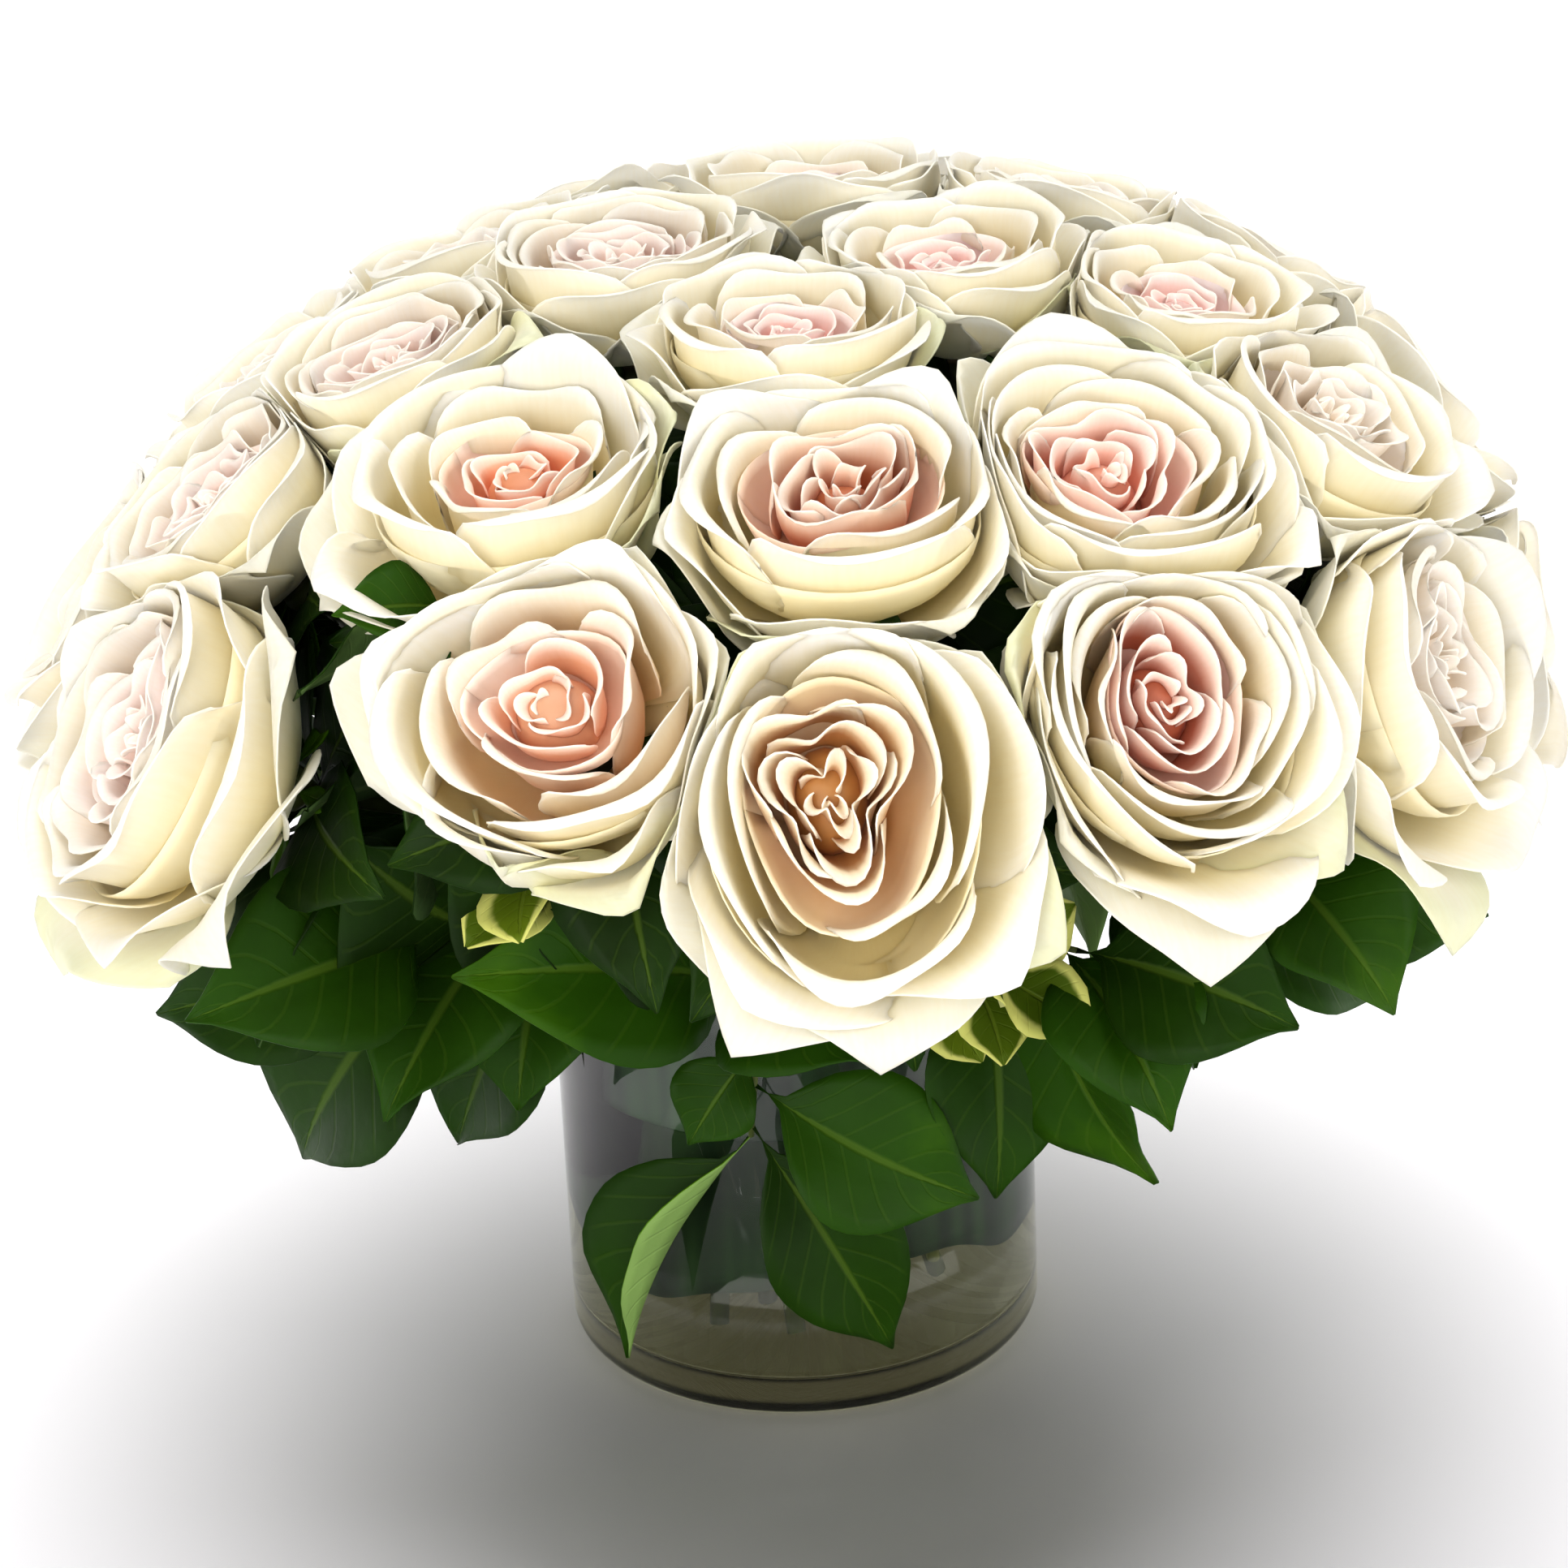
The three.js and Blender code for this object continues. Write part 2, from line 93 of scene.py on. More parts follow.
class Wire:
    # a socket that can be reckoned with
    def __init__(self, finish, socket):
        self.finish = finish
        self.socket = socket

    def maths(self, operation, *values):
        return self.finish.node("ShaderNodeMath", {"operation": operation}, *values)

    def __add__(self, other):
        return self.maths("ADD", self, other)

    def __radd__(self, other):
        return self.maths("ADD", other, self)

    def __sub__(self, other):
        return self.maths("SUBTRACT", self, other)

    def __rsub__(self, other):
        return self.maths("SUBTRACT", other, self)

    def __mul__(self, other):
        return self.maths("MULTIPLY", self, other)

    def __rmul__(self, other):
        return self.maths("MULTIPLY", other, self)

    def __abs__(self):
        return self.maths("ABSOLUTE", self)

    def step(self, low, high):
        # 0 below low, 1 above high
        return self.finish.node("ShaderNodeMapRange", {"interpolation_type": "SMOOTHSTEP"},
                                self, low, high, 0.0, 1.0)


class Finish:
    # one material and the nodes that it is made of
    def __init__(self, name):
        self.material = bpy.data.materials.new(name)
        self.material.use_nodes = True
        self.tree = self.material.node_tree
        self.shader = self.tree.nodes["Principled BSDF"]

    def node(self, kind, settings=None, *inputs, output=0, **named):
        made = self.tree.nodes.new(kind)
        for key, value in (settings or {}).items():
            if key == "stops":
                while len(made.color_ramp.elements) < len(value):
                    made.color_ramp.elements.new(0.5)
                for element, (position, colour) in zip(made.color_ramp.elements, value):
                    element.position = position
                    element.color = (*colour, 1.0)
            else:
                setattr(made, key, value)
        for key, value in [*enumerate(inputs), *named.items()]:
            socket = made.inputs[key if isinstance(key, int) else key.replace("_", " ")]
            self.feed(socket, value)
        return Wire(self, made.outputs[output])

    def feed(self, socket, value):
        if isinstance(value, Wire):
            self.tree.links.new(value.socket, socket)
        else:
            socket.default_value = value

    def mix(self, share, first, second, blend="MIX"):
        made = self.node("ShaderNodeMix", {"data_type": "RGBA", "blend_type": blend}, share,
                         output=2)
        for socket, value in zip(made.socket.node.inputs[6:8], (first, second)):
            self.feed(socket, (*value, 1.0) if isinstance(value, tuple) else value)
        return made

    def coordinates(self, kind):
        # "UV" follows a blade or a petal, "Object" is the place on the whole arrangement
        return self.node("ShaderNodeTexCoord", output=kind)

    def part(self, vector, letter):
        return self.node("ShaderNodeSeparateXYZ", None, vector, output=letter)

    def texture(self, vector, scale, detail, stretch=(1, 1, 1)):
        turned = self.node("ShaderNodeMapping", None, vector, Scale=stretch)
        return self.node("ShaderNodeTexNoise", None, Vector=turned, Scale=scale, Detail=detail)

    def bump(self, height, distance, strength):
        return self.node("ShaderNodeBump", None, Height=height, Distance=distance,
                         Strength=strength)

    def set(self, **values):
        for key, value in values.items():
            self.feed(self.shader.inputs[key.replace("_", " ")], value)
        return self.material


# --- mesh helpers ---

def newMesh():
    bm = bmesh.new()
    bm.loops.layers.uv.new("UVMap")
    return bm


def layGrid(bm, columns, rows, shape):
    # a sheet whose corners are moved by shape(u, v), u from -1 to 1 and v from 0 to 1
    made = bmesh.ops.create_grid(bm, x_segments=columns, y_segments=rows, size=1.0, calc_uvs=True)
    for vert in made["verts"]:
        vert.co = shape(vert.co.x, (vert.co.y + 1) / 2, vert)


def layTube(bm, points, radii, sides):
    # rings of corners along the points, bridged one to the next and closed at both ends
    across = points[1] - points[0]
    across = across.orthogonal().normalized()
    rings = []
    for i, point in enumerate(points):
        direction = (points[min(i + 1, len(points) - 1)] - points[max(i - 1, 0)]).normalized()
        across = (across - direction * across.dot(direction)).normalized()
        turn = Matrix((across, direction.cross(across), direction)).transposed().to_4x4()
        ring = bmesh.ops.create_circle(bm, segments=sides, radius=radii[i],
                                       matrix=Matrix.Translation(point) @ turn)["verts"]
        edges = list(dict.fromkeys(edge for vert in ring for edge in vert.link_edges))
        if rings:
            bmesh.ops.bridge_loops(bm, edges=rings[-1][1] + edges)
        rings.append((ring, edges))
    for ring, edges in (rings[0], rings[-1]):
        bmesh.ops.contextual_create(bm, geom=ring)


def finished(bm, name, materials, node, move=None, sheet=False):
    # turns a bmesh in millimetres into a piece that stands for a node
    mesh = bpy.data.meshes.new(name)
    if not sheet:  # the faces of a sheet point the right way already
        bmesh.ops.recalc_face_normals(bm, faces=bm.faces)
    bm.to_mesh(mesh)
    bm.free()
    places = np.empty(len(mesh.vertices) * 3, np.float32)
    mesh.vertices.foreach_get("co", places)
    places = places.reshape(-1, 3).astype(float)
    if move is not None:
        places = move(places)
    mesh.vertices.foreach_set("co", (places * mm).astype(np.float32).ravel())
    mesh.shade_smooth()
    for material in materials:
        mesh.materials.append(material)
    piece = bpy.data.objects.new(name, mesh)
    scene.collection.objects.link(piece)
    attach(piece, "root")
    if node:
        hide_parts(node)
    return piece


def thicken(piece, thickness, backMaterial=0):
    wall = piece.modifiers.new("wall", "SOLIDIFY")
    wall.thickness = thickness * mm
    wall.offset = 0.0
    wall.material_offset = backMaterial


def bakeModifiers(piece):
    graph = bpy.context.evaluated_depsgraph_get()
    mesh = bpy.data.meshes.new_from_object(piece.evaluated_get(graph), depsgraph=graph,
                                           preserve_all_data_layers=True)
    piece.modifiers.clear()
    piece.data = mesh


def joinPieces(piece, *others):
    # one piece from several, each keeping its own material slots
    pieces = [piece, *others]
    with bpy.context.temp_override(active_object=piece, object=piece,
                                   selected_objects=pieces, selected_editable_objects=pieces):
        bpy.ops.object.join()
    piece.data.name = piece.name


# --- the dome that the roses stand on, as in the solids ---

dome = {"radius": 238, "height": 205, "centre": 160, "fullness": 0.78,
        "lean": 0.13, "leanFrom": 210}


def onDome(azimuth, elevation):
    across = cos(radians(elevation)) ** dome["fullness"]
    up = sin(radians(elevation)) ** dome["fullness"]
    point = place(azimuth, dome["radius"] * across, dome["centre"] + dome["height"] * up)
    point.x += dome["lean"] * (point.z - dome["leanFrom"])
    return point


def domeNormal(azimuth, elevation, step=0.5):
    east = onDome(azimuth + step, elevation) - onDome(azimuth - step, elevation)
    north = onDome(azimuth, elevation + step) - onDome(azimuth, elevation - step)
    return east.cross(north).normalized()


# azimuth, elevation, size, turn and kind of face
roses = [
    (3, 29, 1.1, 18, "tan"), (-23, 37, 1.06, 20, "peach"), (31, 33, 1.04, 48, "russet"),
    (-64, 22, 1.2, 10, "blush"), (60, 24, 1.12, 70, "pale"), (-43, 58, 1.02, 30, "coral"),
    (1, 60, 1.0, 55, "copper"), (37, 57, 1.04, 5, "pink"), (-79, 42, 0.96, 40, "blush"),
    (70, 50, 0.96, 15, "pale"), (-15, 82, 0.86, 62, "rosy"), (-112, 78, 0.9, 25, "blush"),
    (98, 84, 0.84, 50, "rosy"), (-126, 60, 0.92, 0, "pale"), (-84, 61, 0.86, 33, "blush"),
    (180, 68, 0.92, 12, "rosy"), (140, 63, 0.92, 44, "pale"), (84, 67, 0.84, 68, "rosy"),
    (-108, 45, 0.94, 8, "pale"), (-93, 21, 1.02, 52, "peach"), (119, 50, 0.9, 28, "blush"),
    (101, 35, 0.96, 60, "pale"), (91, 12, 1.0, 18, "blush"), (122, 24, 1.0, 36, "pink"),
    (146, 36, 0.98, 2, "tan"), (172, 44, 0.96, 58, "coral"), (-152, 50, 0.98, 22, "blush"),
    (-127, 29, 1.02, 46, "pink"), (160, 16, 1.02, 65, "peach"), (-174, 18, 1.0, 14, "pale"),
    (-148, 20, 1.02, 38, "coral"),
]

bloomDepth = 47
room = {"gap": 0.6, "softFrom": 0.72}


def standing(azimuth, elevation, size, turn, kind):
    face = onDome(azimuth, elevation)
    axis = domeNormal(azimuth, elevation)
    east = upright.cross(axis).normalized()
    across = Matrix.Rotation(radians(turn), 3, axis) @ east
    return {"face": face, "axis": axis, "base": face - axis * bloomDepth * size, "size": size,
            "east": east, "north": axis.cross(east), "across": across,
            "beside": axis.cross(across), "turn": turn, "kind": kind,
            "azimuth": azimuth, "elevation": elevation}


stood = [standing(*rose) for rose in roses]


def keptInRoom(rose, points):
    # bends a bloom towards its axis where a neighbour's room begins
    base, axis, face = (np.array(rose[key]) for key in ("base", "axis", "face"))
    centres = base + ((points - base) @ axis)[:, None] * axis
    reach = points - centres
    crowding = np.zeros(len(points))
    for other in stood:
        if other is rose:
            continue
        towards = np.array(other["face"]) - face
        distance = np.linalg.norm(towards)
        towards /= distance
        border = distance * rose["size"] / (rose["size"] + other["size"])
        left = border - room["gap"] / 2 - centres @ towards + face @ towards
        crowding = np.maximum(crowding, (reach @ towards) / np.maximum(left, room["gap"]))
    soft = room["softFrom"]
    bent = soft + (1 - soft) * np.tanh((crowding - soft) / (1 - soft))
    share = np.where(crowding > soft, bent / np.maximum(crowding, soft), 1.0)
    return centres + reach * share[:, None]


# --- rose petals ---

# white, cream, the outer petals' green, and ochre: petal feet's yellow, partly painted warm shade
petalPaint = {
    "white": linear(252, 248, 235), "cream": linear(251, 240, 200),
    "green": linear(236, 238, 182), "ochre": linear(248, 230, 166),
}

# the whorls of a cup from the outside in: radius, height of the rim, roll of the rim, petals,
# and those of its heart: radius, height, petals
forms = {
    "ruffled": {"cup": [(38.5, 48.5, 6.5, 4), (29, 46.5, 5, 3)],
                "heart": [(19.5, 44, 3), (14.5, 43, 3), (9.5, 42, 2), (5.5, 41, 2), (2.4, 40, 1)],
                "ruffle": 0.3, "frill": 2.0},
    "bowl": {"cup": [(39.5, 49, 6.5, 4), (31, 46.5, 5.5, 3), (22, 43.5, 4, 3)],
             "heart": [(14.5, 40, 2), (9.5, 38.5, 2), (5.5, 37.5, 2), (2.4, 37, 1)],
             "ruffle": 0.16, "frill": 1.0},
    "rimmed": {"cup": [(40, 49, 5, 4), (34.5, 48, 4.5, 4), (29, 46.5, 4, 3), (23.5, 44.5, 3, 3)],
               "heart": [(17.5, 43, 3), (12.5, 42, 2), (8.5, 41, 2), (5, 40, 2), (2.2, 39.5, 1)],
               "ruffle": 0.26, "frill": 1.4},
}

# each kind of face: its form, the colour and depth of its middle, how far that colour
# spreads, how far the middle lies off the axis, how oval the cup is and how far it nods up
faces = {
    "tan": ("ruffled", (246, 226, 188), (200, 134, 72), 22, (-6, 5), (0.86, 1.14), 4),
    "peach": ("bowl", (250, 226, 208), (230, 160, 122), 30, (-3, 1), (1.05, 0.95), 10),
    "russet": ("rimmed", (248, 216, 200), (184, 92, 62), 22, (-4, 3), (0.96, 1.04), 6),
    "blush": ("rimmed", (250, 232, 224), (240, 206, 190), 30, (0, 1), (1.0, 1.0), 4),
    "pale": ("ruffled", (250, 240, 230), (242, 220, 192), 26, (1, 2), (1.04, 0.96), 4),
    "coral": ("bowl", (252, 220, 196), (232, 136, 92), 16, (0, 3), (1.04, 0.98), 12),
    "copper": ("ruffled", (246, 210, 184), (190, 100, 58), 20, (1, 2), (1.02, 1.0), 10),
    "pink": ("rimmed", (252, 222, 208), (232, 148, 122), 20, (-5, 4), (1.06, 0.96), 6),
    "rosy": ("bowl", (250, 224, 218), (238, 182, 172), 22, (0, 1), (1.0, 1.0), 6),
}

# what sets single roses apart: the directions and lengths of their outer petals, counted
# from the right as one looks at the rose, and how far the cup turns aside
own = {
    1: {"guards": [(87, 1.14), (29, 1.02), (325, 0.94), (272, 0.98), (238, 0.99), (187, 0.97),
                   (137, 1.0)]},
    2: {"guards": [(160, 1.18), (308, 0.86), (14, 0.96), (86, 0.95), (222, 0.6), (262, 0.6)],
        "shoulders": [(20, 0.96), (92, 1.0), (164, 0.95), (232, 0.68), (308, 0.8)]},
    3: {"guards": [(308, 0.98), (257, 1.08), (3, 1.0), (43, 1.04), (150, 0.98), (205, 0.9),
                   (100, 0.95)]},
    4: {"aside": 10},
    5: {"aside": -10},
    6: {"guards": [(190, 1.1), (18, 1.08), (300, 0.9), (243, 0.9), (110, 1.0), (62, 1.0)]},
    7: {"guards": [(252, 1.1), (350, 0.95), (184, 0.95), (118, 1.0), (55, 1.0), (302, 0.9)]},
    8: {"guards": [(238, 1.1), (345, 1.08), (290, 0.92), (60, 1.06), (122, 1.1), (185, 0.95)]},
    9: {"aside": 5},
    10: {"aside": -5},
}

# how a petal of each place is cut and bent: half its angle, how far and how sharply its side
# corners drop, how it narrows to the tip, how far its sides roll back, the wave of its rim, its
# lean and how far one side tucks under its neighbour. Then the whorl: its petals, their shift
# against the whorl outside them, how far each turns and its length or its rise
guard = {
    "profile": [(6, 3), (24, 8), (39, 18.5), (49, 31), (58, 36.5), (67, 31)],
    "span": 52, "drop": 0.4, "sharp": 0.8, "cut": 0.0, "narrow": 0.25, "roll": 7, "wave": 1.6,
    "lean": 0.05, "tuck": 3.0, "columns": 18, "rows": 15,
    "count": 5, "shift": 0.5, "turn": 5, "lengths": (0.94, 1.08),
}
shoulder = {
    "profile": [(6, 3.6), (24, 9.5), (37.5, 20), (44, 33), (49.5, 42), (58, 44)],
    "span": 54, "drop": 0.3, "sharp": 1.0, "cut": 0.04, "narrow": 0.2, "roll": 5, "wave": 1.6,
    "lean": 0.06, "tuck": 2.5, "columns": 18, "rows": 13,
    "count": 5, "shift": 0.0, "turn": 7, "lengths": (0.95, 1.05),
}
cup = {"span": 62, "drop": 0.16, "sharp": 1.8, "cut": 0.22, "narrow": 0.14, "roll": 1.5,
       "wave": 1.4, "lean": 0.13, "tuck": 2.6, "columns": 18, "rows": 11,
       "shift": 0.38, "turn": 0.15, "rise": (-2.0, 0.8)}
heart = {"span": 84, "drop": 0.1, "sharp": 1.8, "cut": 0.24, "narrow": 0.12, "roll": 0.0,
         "lean": 0.05, "tuck": 1.4, "columns": 20, "rows": 8, "shift": 0.43, "turn": 0.3,
         "rise": None}

# what all petals share: how much closer their rows lie near the rolled rim, how broad the foot
# is, and how the wave of the rim runs in and out and up and down
petal = {"thickness": 0.45, "crowding": 1.4, "foot": 0.4, "inAndOut": 1.7, "upAndDown": 2.2,
         "leastRadius": 0.4}

# two folds round the flower, which fade between two radii and turn with the radius
folding = {"coarse": 0.7, "fine": 0.3, "fullTo": 12, "goneAt": 34, "coarseTurn": 0.07,
           "fineTurn": -0.1}

# radius and height of a bowl outside the cup, which closes the chinks between its petals, and
# of a nest round the heart, its radius as a share of the innermost whorl's
basin = {"bowl": [(6, 4.3), (27, 11.8), (38.2, 24.5), (40.5, 33)],
         "nest": [(0.3, 24), (0.62, 26), (0.86, 31), (0.98, 39)], "columns": 40, "rows": 6}

# the closed middle inside the innermost petals
bud = {"radius": 12, "height": 25, "halfLength": 11, "segments": 16, "rings": 8}


def cupProfile(radius, height, lip, rise):
    top = height + rise
    return [(6, 5), (radius * 0.7, 13), (radius * 0.93, 25), (radius * 0.99, 36),
            (radius + lip * 0.12, top - 3.5), (radius + lip * 0.5, top - 0.4),
            (radius + lip, top - lip * 0.3)]


def heartProfile(radius, height, rise):
    return [(radius * 0.45, 14), (radius * 0.85, 25), (radius, 34),
            (radius * 1.04, height - 2), (radius * 1.04 + 1.6, height + rise)]


def layPetal(bm, colours, kind, profile, angle, paint, draw, settle=None, ruffle=None, length=1.0):
    phase = draw.uniform(0, tau)
    ripples = draw.choice((2.0, 2.6, 3.2))
    half = radians(kind["span"]) * draw.uniform(0.94, 1.06)
    lean = kind["lean"] * draw.uniform(-1, 1)
    grow = draw.uniform(0.97, 1.03)

    def shape(u, v, vert):
        side = abs(u)
        v = 1 - (1 - v) ** petal["crowding"]
        reach = v * (1 - kind["drop"] * side ** kind["sharp"] - kind["cut"] * side ** 6
                     + lean * u - abs(lean))
        radius, height = along(profile, reach)
        spread = petal["foot"] + (1 - petal["foot"]) * smooth(v, 0.0, 0.55)
        theta = angle + u * half * spread * (1 - kind["narrow"] * smooth(v, 0.6, 1.0))
        radius += kind["tuck"] * u * smooth(v, 0.1, 0.6)
        if ruffle:
            radius *= 1 + smooth(v, 0.1, 0.9) * ruffle(theta, radius)
        back = kind["roll"] * side ** 3 * smooth(v, 0.3, 0.95)
        wave = kind["wave"] * v ** 4
        radius += back / 2 + wave * cos(ripples * u * petal["inAndOut"] + 2 * phase)
        height += wave * sin(ripples * u * petal["upAndDown"] + phase) - back
        radius *= grow * (1 + (length - 1) * smooth(v, 0.3, 1.0))
        vert[colours] = (*paint(u, v), 1.0)
        point = polar(theta, max(radius, petal["leastRadius"]), height)
        return settle(point, v) if settle else point

    layGrid(bm, kind["columns"], kind["rows"], shape)


def makeRose(index, rose, material):
    draw = random.Random(100 + index)
    bm = newMesh()
    colours = bm.verts.layers.float_color.new("petalColour")
    formName, tint, deep, spread, off, oval, nodding = faces[rose["kind"]]
    form = forms[formName]
    tint, deep = linear(*tint), linear(*deep)
    white, cream, green, ochre = petalPaint.values()
    mine = own.get(index + 1, {})
    nod = (Matrix.Rotation(radians(-mine.get("aside", 0)), 3, "Y")
           @ Matrix.Rotation(radians(-nodding), 3, "X"))
    greening = draw.uniform(0.2, 1.0)

    # x runs east over the dome and y towards its top
    def settle(point, share):
        point.x = point.x * oval[0] + off[0] * share
        point.y = point.y * oval[1] + off[1] * share
        return nod @ point

    def settleCup(point, v):
        return settle(point, smooth(v, 0.2, 0.8) / 2)

    def settleHeart(point, v):
        return settle(point, 1.0)

    def guardPaint(k):
        tip = 0.9 if (k + index) % 4 == 2 else 0.15  # one petal in four has a green tip

        def paint(u, v):
            colour = mixed(mixed(cream, green, greening), cream, smooth(v, 0.3, 0.8))
            colour = mixed(colour, white, smooth(v, 0.4, 0.9) * 0.85)
            return mixed(colour, green, tip * smooth(v + abs(u) * 0.2, 0.5, 1.0))

        return paint

    def shoulderPaint(k):
        def paint(u, v):
            colour = mixed(ochre, cream, smooth(v, 0.25, 0.6))
            return mixed(colour, white, smooth(v, 0.5, 0.85))

        return paint

    def layOuterWhorl(kind, ownPetals, paintOf):
        drawn = [(rose["turn"] + 360 / kind["count"] * (k + kind["shift"])
                  + draw.uniform(-kind["turn"], kind["turn"]), draw.uniform(*kind["lengths"]))
                 for k in range(kind["count"])]
        for k, (direction, length) in enumerate(ownPetals or drawn):
            layPetal(bm, colours, kind, kind["profile"], radians(direction), paintOf(k), draw,
                     length=length)

    layOuterWhorl(guard, mine.get("guards"), guardPaint)
    layOuterWhorl(shoulder, mine.get("shoulders"), shoulderPaint)

    # all whorls inside follow the same folds, so they nest and never cross
    start = draw.uniform(0, 1.26)
    folds = draw.choice((2, 3, 3))
    first, second = draw.uniform(0, 6.3), draw.uniform(0, 6.3)

    def ruffle(theta, radius):
        coarse = sin(folds * theta + first + radius * folding["coarseTurn"])
        fine = sin((folds + 2) * theta + second + radius * folding["fineTurn"])
        strength = smooth(folding["goneAt"] - radius, 0, folding["goneAt"] - folding["fullTo"])
        return form["ruffle"] * strength * (folding["coarse"] * coarse + folding["fine"] * fine)

    def layBasin(profile, across, low, high):
        def shape(u, v, vert):
            radius, height = along(profile, v)
            theta = u * pi
            radius *= across * (1 + smooth(v, 0.1, 0.9) * ruffle(theta, radius * across))
            vert[colours] = (*mixed(low, high, v), 1.0)
            return settleCup(polar(theta, radius, height), v)

        layGrid(bm, basin["columns"], basin["rows"], shape)

    layBasin(basin["bowl"], 1, ochre, cream)
    layBasin(basin["nest"], form["cup"][-1][0], deep, tint)

    def layInnerWhorl(kind, w, whorl, profileOf, paint, settleIt):
        *measures, count = whorl
        for k in range(count):
            profile = profileOf(*measures, draw.uniform(*kind["rise"]) if kind["rise"] else 0)
            angle = start + tau * (k + w * kind["shift"]) / count
            angle += draw.uniform(-kind["turn"], kind["turn"])
            layPetal(bm, colours, kind, profile, angle, paint, draw, settleIt, ruffle)

    for w, whorl in enumerate(form["cup"]):
        closeness = smooth(spread - whorl[0], -12, 12)
        low = mixed(ochre, deep, closeness)
        high = mixed(mixed(cream, white, 0.35), tint, closeness)

        def cupPaint(u, v, low=low, high=high, closeness=closeness):
            colour = mixed(low, high, smooth(v, 0.3, 0.75))
            return mixed(colour, white, smooth(v, 0.72, 0.9) * (1 - 0.4 * closeness))

        layInnerWhorl(cup, w, whorl, cupProfile, cupPaint, settleCup)

    def heartPaint(u, v):
        colour = mixed(deep, tint, smooth(v, 0.45, 0.85))
        return mixed(colour, white, smooth(v, 0.8, 0.97) * 0.75)

    frilled = dict(heart, wave=form["frill"])
    for w, whorl in enumerate(form["heart"]):
        layInnerWhorl(frilled, w, whorl, heartProfile, heartPaint, settleHeart)

    made = bmesh.ops.create_uvsphere(bm, u_segments=bud["segments"], v_segments=bud["rings"],
                                     radius=1.0)
    for vert in made["verts"]:
        vert[colours] = (*deep, 1.0)
        vert.co = settle(Vector((vert.co.x * bud["radius"], vert.co.y * bud["radius"],
                                 bud["height"] + vert.co.z * bud["halfLength"])), 1.0)

    base, axes = np.array(rose["base"]), np.array([rose["east"], rose["north"], rose["axis"]])

    def intoPlace(points):
        return keptInRoom(rose, base + rose["size"] * (points @ axes))

    number = f"{index + 1:02d}"
    piece = finished(bm, f"rose_{number}", [material], f"rose_bloom_{number}",
                     intoPlace, sheet=True)
    thicken(piece, petal["thickness"])


def petalFinish():
    finish = Finish("rosePetal")
    colour = finish.node("ShaderNodeAttribute", {"attribute_name": "petalColour"})
    veins = finish.texture(finish.coordinates("UV"), 14.0, 3.0, (3.0, 0.3, 1.0))
    cloud = finish.texture(finish.coordinates("Object"), 30.0, 2.0)
    between = (1 - veins.step(0.3, 0.7)) * 0.22
    warm = finish.mix(between, colour, linear(250, 242, 220), "MULTIPLY")
    tone = finish.mix(cloud.step(0.45, 0.8) * 0.2, warm, linear(250, 246, 232), "MULTIPLY")
    return finish.set(Base_Color=tone, Roughness=0.42 + 0.16 * cloud,
                      Normal=finish.bump(veins, 0.00012, 0.4), Subsurface_Weight=0.5,
                      Subsurface_Radius=(1.0, 0.98, 0.92), Subsurface_Scale=0.006,
                      Sheen_Weight=0.08, Sheen_Roughness=0.4)


petals = petalFinish()
for i, rose in enumerate(stood):
    makeRose(i, rose, petals)
print("roses made:", len(stood))


# --- leaves ---

# half width of a leaf along its length, from the stalk to the drawn-out tip
broadOutline = [(width,) for width in (0.03, 0.05, 0.55, 0.84, 0.99, 0.98, 0.84, 0.58, 0.27, 0.02)]
smallOutline = [(width,) for width in (0.06, 0.22, 0.72, 1.0, 0.94, 0.66, 0.05)]

# a plain blade: how far it faces up and to the front, its fold at the midrib, its wave, the
# ripple of its edge, how much paler the tip is, how far it rolls about its midrib, and where,
# how far and how narrow one side turns over
leaf = {"outline": broadOutline, "columns": 8, "rows": 16, "thickness": 0.5, "facing": 0.55,
        "front": 0.0, "fold": 0.22, "wave": 2.0, "ripple": 1.1, "ripples": 17, "shift": 1.3,
        "paler": 0.3, "roll": 0.0, "turned": None, "turnedLift": 0.25, "turnedWidth": 0.32}


def layLeaf(bm, tones, root, tip, width, arch, tone, draw, **changes):
    cut = {**leaf, **changes}
    direction = (tip - root).normalized()
    out = Vector((root.x + tip.x, root.y + tip.y, 0))
    out = out.normalized() if out.length > 1 else forward
    out = out.lerp(forward, cut["front"]).normalized()
    out.z = cut["facing"]
    up = (out - direction * out.dot(direction)).normalized()
    up.rotate(Matrix.Rotation(radians(cut["roll"]), 3, direction))
    side = direction.cross(up)
    phase = draw.uniform(0, tau)
    length = (tip - root).length
    bend = draw.uniform(-0.05, 0.05) * length

    def shape(u, v, vert):
        half = along(cut["outline"], v)[0] * width / 2
        lift = arch * 4 * v * (1 - v) + half * cut["fold"] * abs(u)
        lift += cut["wave"] * u * sin(tau * v) * half * 2 / width
        ripple = sin(cut["ripples"] * v + phase + (cut["shift"] if u > 0 else 0))
        lift += cut["ripple"] * u ** 2 * smooth(v, 0.1, 0.3) * ripple
        sway = bend * sin(pi * v)
        vert[tones] = tone + cut["paler"] * (v - 0.5)
        if cut["turned"] and u < -cut["turned"]:  # this side lies folded over the face
            over = -u - cut["turned"]
            lift += half * over * cut["turnedLift"]
            u = over * cut["turnedWidth"] - cut["turned"]
            vert[tones] = 1.0
        return root + direction * length * v + side * (half * u + sway) + up * lift

    layGrid(bm, cut["columns"], cut["rows"], shape)


